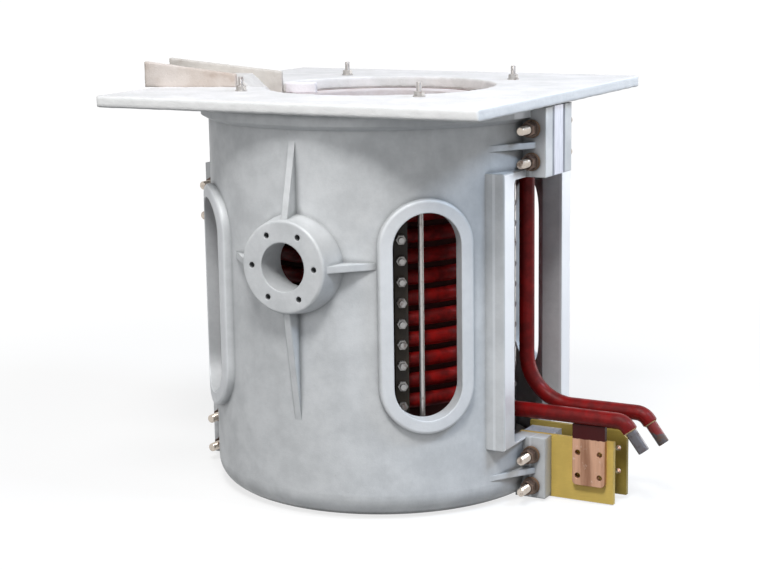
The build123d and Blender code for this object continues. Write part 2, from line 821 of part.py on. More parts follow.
# Top board, with the round mouth, the channel of the spout and holes for the tie rods
channel_side = spout_far_edge + seat_clearance
with BuildPart() as top_board:
    with BuildSketch(Plane.XY.offset(shell_height)):
        with Locations(((board_right - board_left) / 2, 0)):
            Rectangle(board_left + board_right, 2 * board_half_depth)
        Circle(mouth_radius, mode=Mode.SUBTRACT)
        for angle in tie_rod_angles:
            with Locations(radial_plane(angle, tie_rod_circle, 0).origin):
                Circle(tie_rod_diameter / 2 + bolt_clearance, mode=Mode.SUBTRACT)
    extrude(amount=board_thickness)
    with BuildSketch(Plane(origin=(0, 0, shell_height), x_dir=spout_way, z_dir=(0, 0, 1))):
        with Locations((spout_channel_end / 2, -(spout_inner + channel_side) / 2)):
            Rectangle(spout_channel_end, channel_side - spout_inner)
    extrude(amount=board_thickness, mode=Mode.SUBTRACT)
export(top_board, "top_board")

# Tie rods, with a washer and a nut at both ends
tie_nut_low = floor_board_low + tie_recess_depth - tie_washer_thickness - tie_nut_height
with BuildPart() as tie_rods:
    tie_high = board_high + tie_washer_thickness + tie_nut_height + tie_rod_overhang
    with BuildSketch(Plane.XY.offset(tie_nut_low)):
        for angle in tie_rod_angles:
            with Locations(radial_plane(angle, tie_rod_circle, 0).origin):
                Circle(tie_rod_diameter / 2)
    extrude(amount=tie_high - tie_nut_low)
export(tie_rods, "tie_rods")
with BuildPart() as tie_rod_washers:
    for low in (floor_board_low + tie_recess_depth - tie_washer_thickness, board_high):
        with BuildSketch(Plane.XY.offset(low)):
            for angle in tie_rod_angles:
                with Locations(radial_plane(angle, tie_rod_circle, 0).origin):
                    Circle(tie_washer_diameter / 2)
                    Circle(tie_rod_diameter / 2 + bolt_clearance, mode=Mode.SUBTRACT)
        extrude(amount=tie_washer_thickness)
export(tie_rod_washers, "tie_rod_washers")
with BuildPart() as tie_rod_nuts:
    for low in (tie_nut_low, board_high + tie_washer_thickness):
        with BuildSketch(Plane.XY.offset(low)):
            for angle in tie_rod_angles:
                with Locations(radial_plane(angle, tie_rod_circle, 0).origin):
                    RegularPolygon(tie_nut_across_flats / 2, 6, major_radius=False)
                    Circle(tie_rod_diameter / 2 + bolt_clearance, mode=Mode.SUBTRACT)
        extrude(amount=tie_nut_height)
export(tie_rod_nuts, "tie_rod_nuts")

# Refractory plates on both sides of the spout, whose tops rise towards the lip
with BuildPart() as spout_plate_front:
    near_face = Plane(origin=spout_side * spout_near, x_dir=spout_way, z_dir=spout_side)
    with BuildSketch(near_face):
        with BuildLine():
            Polyline(
                (spout_front_start, board_high),
                (spout_front_end, board_high),
                (spout_front_end, board_high + spout_front_lip),
                (spout_front_start, board_high + spout_front_rise),
                close=True,
            )
        make_face()
    extrude(amount=spout_plate_thickness)
export(spout_plate_front, "spout_plate_front")

# The far plate also reaches down through the channel, on to the ring above the coil
with BuildPart() as spout_plate_rear:
    far_face = Plane(origin=spout_side * spout_far, x_dir=spout_way, z_dir=spout_side)
    with BuildSketch(far_face):
        with BuildLine():
            Polyline(
                (spout_rear_start, shell_height),
                (spout_channel_end - seat_clearance, shell_height),
                (spout_channel_end - seat_clearance, board_high),
                (spout_rear_end, board_high),
                (spout_rear_end, board_high + spout_rear_lip),
                (spout_rear_start, board_high + spout_rear_rise),
                close=True,
            )
        make_face()
    extrude(amount=spout_plate_thickness)
export(spout_plate_rear, "spout_plate_rear")

# Low plate in line with it, which runs into the mouth and stands on the lining
with BuildPart() as spout_tongue:
    tongue_end = math.sqrt(mouth_radius**2 - spout_far_edge**2) - seat_clearance
    with BuildSketch(far_face):
        with Locations((tongue_end - spout_tongue_length / 2, (shell_height + board_high) / 2)):
            Rectangle(spout_tongue_length, board_thickness)
    extrude(amount=spout_plate_thickness)
export(spout_tongue, "spout_tongue")

# Mortar between the two plates, which climbs out of the channel on to the board
with BuildPart() as spout_mortar:
    with BuildSketch(Plane(origin=spout_side * spout_inner, x_dir=spout_way, z_dir=spout_side)):
        with BuildLine():
            Polyline(
                (spout_mortar_start, shell_height),
                (spout_channel_end, shell_height),
                (spout_channel_end, board_high),
                (spout_front_end, board_high),
                (spout_front_end, board_high + spout_mortar_thickness),
                (spout_mortar_crest, board_high + spout_mortar_thickness),
                (spout_mortar_start, shell_height + spout_mortar_toe),
                close=True,
            )
        make_face()
    extrude(amount=spout_width)
    with BuildSketch(Plane.XY.offset(board_high)):
        with Locations((-2 * board_left, 0)):
            Rectangle(2 * board_left, 4 * board_half_depth)
    extrude(amount=spout_mortar_thickness, mode=Mode.SUBTRACT)
export(spout_mortar, "spout_mortar")
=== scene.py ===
"""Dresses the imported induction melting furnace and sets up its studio.

The frame holds every piece at its real place, in metres, with +Z up. The scene keeps the nodes
whose shape is right and gives them their finish, and it replaces the rough, threaded and
chamfered ones by finer pieces that it models in the same place.
"""

import json
import logging
import math
from dataclasses import dataclass, replace
from enum import Enum

import bmesh
import bpy
from mathutils import Matrix, Vector

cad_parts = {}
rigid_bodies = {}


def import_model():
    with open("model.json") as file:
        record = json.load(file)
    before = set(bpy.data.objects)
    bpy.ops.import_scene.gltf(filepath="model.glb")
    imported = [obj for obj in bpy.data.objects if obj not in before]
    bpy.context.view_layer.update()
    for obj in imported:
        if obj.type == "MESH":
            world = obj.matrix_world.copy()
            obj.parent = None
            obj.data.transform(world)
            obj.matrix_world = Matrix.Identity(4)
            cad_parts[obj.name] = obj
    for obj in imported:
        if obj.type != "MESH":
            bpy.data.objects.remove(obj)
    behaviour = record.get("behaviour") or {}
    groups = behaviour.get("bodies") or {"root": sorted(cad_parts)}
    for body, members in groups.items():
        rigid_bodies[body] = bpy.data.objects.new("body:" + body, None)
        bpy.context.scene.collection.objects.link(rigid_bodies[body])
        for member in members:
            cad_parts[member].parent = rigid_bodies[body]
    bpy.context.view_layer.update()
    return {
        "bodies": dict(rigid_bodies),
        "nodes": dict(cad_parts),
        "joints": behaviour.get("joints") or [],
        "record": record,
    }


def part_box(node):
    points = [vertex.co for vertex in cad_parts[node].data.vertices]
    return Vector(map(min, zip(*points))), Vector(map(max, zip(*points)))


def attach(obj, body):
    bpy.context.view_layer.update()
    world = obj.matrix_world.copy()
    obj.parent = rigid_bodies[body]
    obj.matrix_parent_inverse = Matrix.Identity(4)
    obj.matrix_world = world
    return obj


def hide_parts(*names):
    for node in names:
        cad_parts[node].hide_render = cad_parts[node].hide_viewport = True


LOG = logging.getLogger("furnace")
ROOT = "root"
MM = 0.001
FULL_TURN = 2 * math.pi
COPY_DOUBLES = 0.01 * MM
SPIN_DOUBLES = 0.001 * MM

Colour = tuple[float, float, float]
Socket = bpy.types.NodeSocket


class Grain(Enum):
    """Which way a pattern is drawn out, as the scale along X, Y and Z."""

    EVEN = (1.0, 1.0, 1.0)
    UPRIGHT = (1.0, 1.0, 0.08)
    LEVEL = (0.06, 1.0, 1.0)


@dataclass(frozen=True)
class Pattern:
    """A noise on the object's coordinates, and the range of it that becomes 0 to 1."""

    scale: float
    detail: float = 4.0
    roughness: float = 0.55
    grain: Grain = Grain.EVEN
    warp: float = 0.0
    low: float = 0.0
    high: float = 1.0


@dataclass(frozen=True)
class Relief:
    """A pattern that raises the surface, with its strength and its height in metres."""

    pattern: Pattern
    strength: float
    height: float


class Shader:
    """A material in the making, with one short call for each kind of node."""

    EDGE_SAMPLES: int = 6
    CORNER_SAMPLES: int = 8
    # How open the surface is where a corner's painted shade begins, and where it is darkest.
    OPEN_SKY: float = 0.95
    DEEP_CORNER: float = 0.35
    # The factor, both colours and the mixed colour: on this node, names stand for several sockets.
    MIX_INPUTS: tuple[int, int, int] = (0, 6, 7)
    MIX_RESULT: int = 2

    def __init__(self, name: str) -> None:
        """Starts a material.

        Args:
            name: What the material is called.
        """
        self.material = bpy.data.materials.new(name)
        self.material.use_nodes = True
        self.nodes = self.material.node_tree.nodes
        self.links = self.material.node_tree.links
        self.nodes.clear()
        output = self.nodes.new("ShaderNodeOutputMaterial")
        self.surface = self.nodes.new("ShaderNodeBsdfPrincipled")
        self.links.new(self.surface.outputs["BSDF"], output.inputs["Surface"])
        coordinates = self.nodes.new("ShaderNodeTexCoord")
        self.place = coordinates.outputs["Object"]
        self.normal = coordinates.outputs["Normal"]

    def set(self, socket: str, value: float | Colour | Socket) -> None:
        """Sets one input of the surface.

        Args:
            socket: The input's name.
            value: A number, a colour or the socket that feeds it.
        """
        target = self.surface.inputs[socket]
        if isinstance(value, bpy.types.NodeSocket):
            self.links.new(value, target)
        elif isinstance(value, tuple):
            target.default_value = (*value, 1.0)
        else:
            target.default_value = value

    def noise(self, pattern: Pattern) -> Socket:
        """Adds a noise pattern on the object's own coordinates.

        Args:
            pattern: Its scale, octaves and grain.

        Returns:
            The noise as it comes, from 0 to 1.
        """
        mapping = self.nodes.new("ShaderNodeMapping")
        mapping.inputs["Scale"].default_value = pattern.grain.value
        self.links.new(self.place, mapping.inputs["Vector"])
        node = self.nodes.new("ShaderNodeTexNoise")
        node.inputs["Scale"].default_value = pattern.scale
        node.inputs["Detail"].default_value = pattern.detail
        node.inputs["Roughness"].default_value = pattern.roughness
        node.inputs["Distortion"].default_value = pattern.warp
        self.links.new(mapping.outputs["Vector"], node.inputs["Vector"])
        return node.outputs["Fac"]

    def patches(self, pattern: Pattern) -> Socket:
        """Adds a noise pattern and spreads its own range over 0 to 1.

        Args:
            pattern: Its scale, octaves, grain and range.

        Returns:
            The patches, from 0 to 1.
        """
        return self.spread(self.noise(pattern), pattern.low, pattern.high)

    def speckle(self, scale: float) -> Socket:
        """Adds cells, whose distance from their middle is 0 to about 1.

        Args:
            scale: Cells in a metre.

        Returns:
            The distance.
        """
        node = self.nodes.new("ShaderNodeTexVoronoi")
        node.inputs["Scale"].default_value = scale
        self.links.new(self.place, node.inputs["Vector"])
        return node.outputs["Distance"]

    def along(self, axis: str) -> Socket:
        """Reads one of the object's coordinates.

        Args:
            axis: X, Y or Z.

        Returns:
            The coordinate in metres.
        """
        node = self.nodes.new("ShaderNodeSeparateXYZ")
        self.links.new(self.place, node.inputs["Vector"])
        return node.outputs[axis]

    def off_axis(self) -> Socket:
        """Reads the distance from the Z axis.

        Returns:
            The distance in metres.
        """
        flat = self.nodes.new("ShaderNodeVectorMath")
        flat.operation = "MULTIPLY"
        flat.inputs[1].default_value = (1, 1, 0)
        self.links.new(self.place, flat.inputs[0])
        length = self.nodes.new("ShaderNodeVectorMath")
        length.operation = "LENGTH"
        self.links.new(flat.outputs["Vector"], length.inputs[0])
        return length.outputs["Value"]

    def facing(self, axis: str) -> Socket:
        """Reads how far the surface looks along one of the object's axes.

        Args:
            axis: X, Y or Z.

        Returns:
            The normal's share along that axis, from -1 to 1.
        """
        node = self.nodes.new("ShaderNodeSeparateXYZ")
        self.links.new(self.normal, node.inputs["Vector"])
        return node.outputs[axis]

    def spread(self, value: Socket, low: float, high: float) -> Socket:
        """Maps a range onto 0 to 1, smoothly and clamped.

        Args:
            value: What is mapped.
            low: The value that becomes 0.
            high: The value that becomes 1.

        Returns:
            The mapped value.
        """
        node = self.nodes.new("ShaderNodeMapRange")
        node.interpolation_type = "SMOOTHSTEP"
        node.inputs["From Min"].default_value = low
        node.inputs["From Max"].default_value = high
        self.links.new(value, node.inputs["Value"])
        return node.outputs["Result"]

    def between(self, value: Socket, low: float, high: float) -> Socket:
        """Maps 0 to 1 onto a range of its own.

        Args:
            value: What is mapped.
            low: What 0 becomes.
            high: What 1 becomes.

        Returns:
            The mapped value.
        """
        node = self.nodes.new("ShaderNodeMapRange")
        node.inputs["To Min"].default_value = low
        node.inputs["To Max"].default_value = high
        self.links.new(value, node.inputs["Value"])
        return node.outputs["Result"]

    def combine(self, operation: str, first: Socket, second: float | Socket) -> Socket:
        """Adds a piece of arithmetic.

        Args:
            operation: Blender's name for it, such as ADD.
            first: The left value.
            second: The right value.

        Returns:
            The result.
        """
        node = self.nodes.new("ShaderNodeMath")
        node.operation = operation
        self.links.new(first, node.inputs[0])
        if isinstance(second, bpy.types.NodeSocket):
            self.links.new(second, node.inputs[1])
        else:
            node.inputs[1].default_value = second
        return node.outputs["Value"]

    def part_of(self, value: Socket, share: float) -> Socket:
        """Weakens a value to a share of itself."""
        return self.combine("MULTIPLY", value, share)

    def mix(self, share: Socket, under: Colour | Socket, over: Colour | Socket) -> Socket:
        """Lays one colour over another.

        Args:
            share: How much of the upper colour shows.
            under: The lower colour.
            over: The upper colour.

        Returns:
            The mixed colour.
        """
        node = self.nodes.new("ShaderNodeMix")
        node.data_type = "RGBA"
        sockets = (node.inputs[index] for index in self.MIX_INPUTS)
        for socket, value in zip(sockets, (share, under, over)):
            if isinstance(value, bpy.types.NodeSocket):
                self.links.new(value, socket)
            else:
                socket.default_value = (*value, 1.0)
        return node.outputs[self.MIX_RESULT]

    def soft_edge(self, radius: float) -> Socket:
        """Rounds the shading of sharp edges.

        Args:
            radius: The rounding in metres.

        Returns:
            The rounded normal.
        """
        node = self.nodes.new("ShaderNodeBevel")
        node.samples = self.EDGE_SAMPLES
        node.inputs["Radius"].default_value = radius
        return node.outputs["Normal"]

    def corners(self, reach: float) -> Socket:
        """Finds inner corners, where shade is painted into the colour.

        Args:
            reach: How far a corner's painted shade spreads in metres.

        Returns:
            0 on the open surface and up to 1 deep in a corner.
        """
        node = self.nodes.new("ShaderNodeAmbientOcclusion")
        node.samples = self.CORNER_SAMPLES
        node.inputs["Distance"].default_value = reach
        return self.spread(node.outputs["AO"], self.OPEN_SKY, self.DEEP_CORNER)

    def bump(self, height: Socket, strength: float, distance: float, under: Socket) -> Socket:
        """Raises the surface by a pattern.

        Args:
            height: The pattern.
            strength: How much of it counts.
            distance: Its height in metres.
            under: The normal that it is added to.

        Returns:
            The bumped normal.
        """
        node = self.nodes.new("ShaderNodeBump")
        node.inputs["Strength"].default_value = strength
        node.inputs["Distance"].default_value = distance
        self.links.new(height, node.inputs["Height"])
        self.links.new(under, node.inputs["Normal"])
        return node.outputs["Normal"]

    def emboss(self, relief: Relief, under: Socket) -> Socket:
        """Raises the surface by a relief.

        Args:
            relief: The relief.
            under: The normal that it is added to.

        Returns:
            The raised normal.
        """
        return self.bump(self.noise(relief.pattern), relief.strength, relief.height, under)


@dataclass(frozen=True)
class CastAluminium:
    """Sand-cast aluminium: dull, mottled, with a fine sandy skin and a few milled faces.

    The lengths from bar_face to rib_reach say where the milled faces lie, as distances along X
    and Z and from the shell's axis.
    """

    name: str
    light: Colour = (0.70, 0.715, 0.725)
    dark: Colour = (0.585, 0.60, 0.61)
    stain: Colour = (0.36, 0.365, 0.35)
    milled: Colour = (0.88, 0.90, 0.93)
    # Painted shade: the colour laid into inner corners, where shade falls.
    painted_corner_shade: Colour = (0.12, 0.125, 0.13)
    clouds: Pattern = Pattern(16.0, 8.0, 0.66, low=0.3, high=0.7)
    runs: Pattern = Pattern(30.0, 6.0, 0.65, Grain.UPRIGHT, low=0.55, high=0.85)
    specks: Pattern = Pattern(190.0, 4.0, 0.75, low=0.6, high=0.78)
    waves: Relief = Relief(Pattern(11.0, 3.0), 0.4, 5 * MM)
    sand: Relief = Relief(Pattern(330.0, 4.0, 0.7), 0.5, 0.7 * MM)
    run_share: float = 0.16
    speck_share: float = 0.3
    corner_shade_reach: float = 16 * MM
    corner_shade_share: float = 0.75
    milled_share: float = 0.9
    rim_share: float = 0.4
    metallic: float = 0.2
    milled_metallic: float = 0.35
    dull: float = 0.66
    less_dull: float = 0.52
    milled_shine: float = 0.16
    edge_radius: float = 3.5 * MM
    flat_from: float = 0.93
    flat_to: float = 0.97
    bar_face: float = 318.5 * MM
    joint_face: float = 357 * MM
    rim_face: float = 332.5 * MM
    rim_face_end: float = 337 * MM
    rim_top: float = 620 * MM
    rib_reach: float = 152 * MM
    sharp_fade: float = 1 * MM
    wide_fade: float = 5 * MM

    def milled_bars(self, shader: Shader) -> Socket:
        """Finds the faces of the bars beside the window of the leads.

        Args:
            shader: The material in the making.

        Returns:
            1 on a bar's face and 0 elsewhere.
        """
        along_x = shader.along("X")
        flat = shader.spread(shader.facing("X"), self.flat_from, self.flat_to)
        on_bar = shader.spread(along_x, self.bar_face - self.sharp_fade, self.bar_face)
        bars = shader.combine("MULTIPLY", flat, on_bar)
        short_of_joint = shader.spread(along_x, self.joint_face, self.joint_face - self.sharp_fade)
        return shader.combine("MULTIPLY", bars, short_of_joint)

    def milled_rims(self, shader: Shader) -> Socket:
        """Finds the faces of the window rims, by their distance from the shell's axis.

        Args:
            shader: The material in the making.

        Returns:
            1 on a rim's face and 0 elsewhere.
        """
        off_axis = shader.off_axis()
        reach = shader.combine("ABSOLUTE", shader.along("X"), 0.0)
        masks = (
            shader.spread(off_axis, self.rim_face_end, self.rim_face_end - self.sharp_fade),
            shader.spread(shader.along("Z"), self.rim_top, self.rim_top - self.wide_fade),
            shader.spread(reach, self.rib_reach, self.rib_reach + self.wide_fade),
        )
        rims = shader.spread(off_axis, self.rim_face - self.sharp_fade, self.rim_face)
        for mask in masks:
            rims = shader.combine("MULTIPLY", rims, mask)
        return rims

    def build(self) -> bpy.types.Material:
        """Makes the material.

        Returns:
            The material.
        """
        shader = Shader(self.name)
        clouds = shader.patches(self.clouds)
        base = shader.mix(clouds, self.dark, self.light)
        runs = shader.part_of(shader.patches(self.runs), self.run_share)
        base = shader.mix(runs, base, self.stain)
        specks = shader.part_of(shader.patches(self.specks), self.speck_share)
        base = shader.mix(specks, base, self.stain)
        # Painted shade: inner corners are darkened, as shade would darken them.
        painted_corner_shade = shader.part_of(shader.corners(self.corner_shade_reach), self.corner_shade_share)
        base = shader.mix(painted_corner_shade, base, self.painted_corner_shade)
        rims = shader.part_of(self.milled_rims(shader), self.rim_share)
        milled = shader.combine("MAXIMUM", self.milled_bars(shader), rims)
        base = shader.mix(shader.part_of(milled, self.milled_share), base, self.milled)
        shader.set("Base Color", base)
        shader.set("Metallic", shader.between(milled, self.metallic, self.milled_metallic))
        dull = shader.between(clouds, self.dull, self.less_dull)
        shine = shader.between(milled, 0.0, self.milled_shine)
        shader.set("Roughness", shader.combine("SUBTRACT", dull, shine))
        waves = shader.emboss(self.waves, shader.soft_edge(self.edge_radius))
        shader.set("Normal", shader.emboss(self.sand, waves))
        return shader.material


@dataclass(frozen=True)
class MilledAluminium:
    """A milled aluminium bar with the marks of the tool along it."""

    name: str
    light: Colour = (0.72, 0.73, 0.80)
    dark: Colour = (0.58, 0.59, 0.67)
    marks: Pattern = Pattern(260.0, 3.0, 0.6, Grain.UPRIGHT, low=0.35, high=0.65)
    metallic: float = 0.25
    bright: float = 0.34
    dull: float = 0.52
    mark_strength: float = 0.3
    mark_height: float = 0.3 * MM
    edge_radius: float = 1 * MM

    def build(self) -> bpy.types.Material:
        """Makes the material.

        Returns:
            The material.
        """
        shader = Shader(self.name)
        marks = shader.noise(self.marks)
        lines = shader.spread(marks, self.marks.low, self.marks.high)
        shader.set("Base Color", shader.mix(lines, self.dark, self.light))
        shader.set("Metallic", self.metallic)
        shader.set("Roughness", shader.between(marks, self.bright, self.dull))
        edge = shader.soft_edge(self.edge_radius)
        shader.set("Normal", shader.bump(marks, self.mark_strength, self.mark_height, edge))
        return shader.material


@dataclass(frozen=True)
class Steel:
    """Plain steel: turned, oily or rusty, by its colours and roughness."""

    name: str
    clean: Colour
    rust: Colour
    rust_share: float = 0.4
    roughness: float = 0.38
    metallic: float = 0.9
    rust_metallic: float = 0.25
    rust_roughness: float = 0.75
    spots: Pattern = Pattern(70.0, 5.0, 0.65, low=0.62, high=0.8)
    low_drop: float = 0.3
    high_drop: float = 0.2
    skin: Relief = Relief(Pattern(700.0, 2.0), 0.2, 0.2 * MM)
    edge_radius: float = 0.7 * MM

    def build(self) -> bpy.types.Material:
        """Makes the material, with more of its surface rusty as the rust's share grows.

        Returns:
            The material.
        """
        shader = Shader(self.name)
        rusty = shader.spread(
            shader.noise(self.spots),
            self.spots.low - self.low_drop * self.rust_share,
            self.spots.high - self.high_drop * self.rust_share,
        )
        shader.set("Base Color", shader.mix(rusty, self.clean, self.rust))
        shader.set("Metallic", shader.between(rusty, self.metallic, self.rust_metallic))
        shader.set("Roughness", shader.between(rusty, self.roughness, self.rust_roughness))
        shader.set("Normal", shader.emboss(self.skin, shader.soft_edge(self.edge_radius)))
        return shader.material


@dataclass(frozen=True)
class Enamel:
    """Brushed insulating enamel on copper tube, with runs, dust and a thin wavy gloss."""

    name: str
    paint: Colour
    deep: Colour
    dust: Colour = (0.09, 0.045, 0.035)
    dust_share: float = 0.2
    roughness: float = 0.36
    thin_roughness: float = 0.2
    gloss: float = 0.18
    coats: Pattern = Pattern(38.0, 4.0, 0.6, low=0.35, high=0.7)
    grime: Pattern = Pattern(90.0, 6.0, 0.7, low=0.56, high=0.75)
    waves: Relief = Relief(Pattern(60.0, 3.0), 0.4, 1.2 * MM)
    grit: Relief = Relief(Pattern(420.0, 2.0), 0.15, 0.3 * MM)
    edge_radius: float = 1 * MM

    def build(self) -> bpy.types.Material:
        """Makes the material.

        Returns:
            The material.
        """
        shader = Shader(self.name)
        coats = shader.patches(self.coats)
        base = shader.mix(coats, self.deep, self.paint)
        grime = shader.part_of(shader.patches(self.grime), self.dust_share)
        shader.set("Base Color", shader.mix(grime, base, self.dust))
        thin = self.roughness + self.thin_roughness
        shader.set("Roughness", shader.between(coats, thin, self.roughness))
        shader.set("Specular IOR Level", self.gloss)
        waves = shader.emboss(self.waves, shader.soft_edge(self.edge_radius))
        shader.set("Normal", shader.emboss(self.grit, waves))
        return shader.material


@dataclass(frozen=True)
class Laminate:
    """Glass-epoxy or phenolic sheet: a woven tint under resin."""

    name: str
    face: Colour
    thread: Colour
    roughness: float = 0.42
    worn_roughness: float = 0.15
    gloss: float = 0.3
    blotches: Pattern = Pattern(22.0, low=0.3, high=0.75)
    threads: Pattern = Pattern(900.0, 1.0, 0.4, Grain.LEVEL, low=0.35, high=0.65)
    thread_share: float = 0.4
    thread_strength: float = 0.15
    thread_height: float = 0.15 * MM
    edge_radius: float = 0.8 * MM

    def build(self) -> bpy.types.Material:
        """Makes the material.

        Returns:
            The material.
        """
        shader = Shader(self.name)
        blotches = shader.patches(self.blotches)
        threads = shader.patches(self.threads)
        base = shader.mix(blotches, self.face, self.thread)
        base = shader.mix(shader.part_of(threads, self.thread_share), base, self.thread)
        shader.set("Base Color", base)
        worn = self.roughness + self.worn_roughness
        shader.set("Roughness", shader.between(blotches, self.roughness, worn))
        shader.set("Specular IOR Level", self.gloss)
        edge = shader.soft_edge(self.edge_radius)
        shader.set("Normal", shader.bump(threads, self.thread_strength, self.thread_height, edge))
        return shader.material


@dataclass(frozen=True)
class PaintLine:
    """The ragged lower limit of paint that ran down, by its height above the floor."""

    ragged: Pattern
    wander: float
    fade_from: float
    fade_to: float

    def above(self, shader: Shader, foot: float) -> Socket:
        """Finds what lies above the line.

        Args:
            shader: The material in the making.
            foot: The line's height in metres.

        Returns:
            1 on the paint and 0 below it.
        """
        ragged = shader.part_of(shader.noise(self.ragged), self.wander)
        height = shader.combine("ADD", shader.along("Z"), ragged)
        return shader.spread(height, foot + self.fade_from, foot + self.fade_to)


@dataclass(frozen=True)
class Tarnish:
    """Bare copper with a brown tarnish, and paint that has run down over its top."""

    name: str
    paint_foot: float
    bare: Colour = (0.62, 0.36, 0.24)
    brown: Colour = (0.30, 0.15, 0.09)
    pale: Colour = (0.72, 0.58, 0.50)
    paint: Colour = (0.055, 0.004, 0.004)
    browned: Pattern = Pattern(45.0, 5.0, 0.6, Grain.UPRIGHT, low=0.38, high=0.66)
    rubbed: Pattern = Pattern(70.0, 5.0, 0.7, low=0.58, high=0.72)
    rubbed_share: float = 0.55
    line: PaintLine = PaintLine(Pattern(160.0, 3.0), 4 * MM, 1.5 * MM, 3 * MM)
    metallic: float = 0.6
    gloss: float = 0.2
    bright: float = 0.34
    dull: float = 0.55
    skin: Relief = Relief(Pattern(500.0, 2.0), 0.2, 0.2 * MM)
    edge_radius: float = 1.2 * MM

    def build(self) -> bpy.types.Material:
        """Makes the material.

        Returns:
            The material.
        """
        shader = Shader(self.name)
        browned = shader.patches(self.browned)
        base = shader.mix(browned, self.bare, self.brown)
        rubbed = shader.part_of(shader.patches(self.rubbed), self.rubbed_share)
        base = shader.mix(rubbed, base, self.pale)
        painted = self.line.above(shader, self.paint_foot)
        shader.set("Base Color", shader.mix(painted, base, self.paint))
        shader.set("Metallic", shader.between(painted, self.metallic, 0.0))
        shader.set("Specular IOR Level", self.gloss)
        shader.set("Roughness", shader.between(browned, self.bright, self.dull))
        shader.set("Normal", shader.emboss(self.skin, shader.soft_edge(self.edge_radius)))
        return shader.material


@dataclass(frozen=True)
class Mineral:
    """Board, mortar or rammed mass: pale, grainy and a little stained."""

    name: str
    light: Colour
    dark: Colour
    stain: Colour
    stain_share: float = 0.25
    coarse: float = 1.0
    clouds: Pattern = Pattern(14.0, 6.0, 0.6, low=0.3, high=0.7)
    marks: Pattern = Pattern(7.0, 5.0, 0.65, warp=0.8, low=0.56, high=0.72)
    pore_scale: float = 260.0
    pore_middle: float = 0.1
    pore_rim: float = 0.32
    pore_share: float = 0.12
    pore_strength: float = 0.25
    pore_height: float = 0.6 * MM
    lumps: Relief = Relief(Pattern(90.0, 6.0, 0.7), 0.5, 2.2 * MM)
    roughness: float = 0.88
    edge_radius: float = 1.5 * MM
    # Painted light: the brighter colour laid on the upright outer edges, for the light they catch.
    painted_edge_light: Colour = (0.93, 0.93, 0.92)
    edge_light_share: float = 0.0
    edge_light_from: float = 300 * MM
    edge_light_fade: float = 20 * MM
    face_up: float = 0.75
    face_out: float = 0.4

    def painted_light_edges(self, shader: Shader) -> Socket:
        """Finds the upright outer edges, which are painted brighter than the faces as painted
        light.

        Args:
            shader: The material in the making.

        Returns:
            1 on an outer edge and 0 on the faces and round the mouth.
        """
        upright = shader.spread(shader.facing("Z"), self.face_up, self.face_out)
        outer = shader.spread(shader.off_axis(), self.edge_light_from, self.edge_light_from + self.edge_light_fade)
        return shader.combine("MULTIPLY", upright, outer)

    def build(self) -> bpy.types.Material:
        """Makes the material.

        Returns:
            The material.
        """
        shader = Shader(self.name)
        clouds = shader.patches(self.clouds)
        base = shader.mix(clouds, self.dark, self.light)
        marks = shader.part_of(shader.patches(self.marks), self.stain_share)
        base = shader.mix(marks, base, self.stain)
        cells = shader.speckle(self.pore_scale / self.coarse)
        pores = shader.spread(cells, self.pore_middle, self.pore_rim)
        base = shader.mix(shader.part_of(pores, self.pore_share), base, self.light)
        # Painted light: the upright outer edges are painted brighter than the faces.
        if self.edge_light_share:
            painted_edge_light = shader.part_of(self.painted_light_edges(shader), self.edge_light_share)
            base = shader.mix(painted_edge_light, base, self.painted_edge_light)
        shader.set("Base Color", base)
        shader.set("Roughness", self.roughness)
        pattern = replace(self.lumps.pattern, scale=self.lumps.pattern.scale / self.coarse)
        lumps = Relief(pattern, self.lumps.strength, self.lumps.height * self.coarse)
        rough = shader.emboss(lumps, shader.soft_edge(self.edge_radius))
        shader.set("Normal", shader.bump(pores, self.pore_strength, self.pore_height, rough))
        return shader.material


@dataclass(frozen=True)
class FiredLining:
    """Rammed lining: pale and dry at the rim, glazed and scorched further down."""

    name: str
    rim_height: float
    scorch_height: float
    rim: Colour = (0.71, 0.665, 0.67)
    pink: Colour = (0.62, 0.545, 0.535)
    scorched: Colour = (0.10, 0.075, 0.06)
    glaze: Colour = (0.22, 0.17, 0.13)
    clouds: Pattern = Pattern(18.0, 6.0, 0.62, low=0.35, high=0.68)
    ragged: Pattern = Pattern(11.0, 5.0, 0.6)
    wander: float = 60 * MM
    glazed: float = 0.5
    dry: float = 0.92
    lumps: Relief = Relief(Pattern(70.0, 7.0, 0.7), 0.6, 3 * MM)
    grit: Relief = Relief(Pattern(380.0, 3.0), 0.3, 0.6 * MM)
    edge_radius: float = 4 * MM

    def build(self) -> bpy.types.Material:
        """Makes the material.

        Returns:
            The material.
        """
        shader = Shader(self.name)
        clouds = shader.patches(self.clouds)
        dry = shader.mix(clouds, self.pink, self.rim)
        burnt = shader.mix(clouds, self.scorched, self.glaze)
        ragged = shader.part_of(shader.noise(self.ragged), self.wander)
        height = shader.combine("ADD", shader.along("Z"), ragged)
        unburnt = shader.spread(height, self.scorch_height, self.rim_height)
        shader.set("Base Color", shader.mix(unburnt, burnt, dry))
        shader.set("Roughness", shader.between(unburnt, self.glazed, self.dry))
        lumps = shader.emboss(self.lumps, shader.soft_edge(self.edge_radius))
        shader.set("Normal", shader.emboss(self.grit, lumps))
        return shader.material


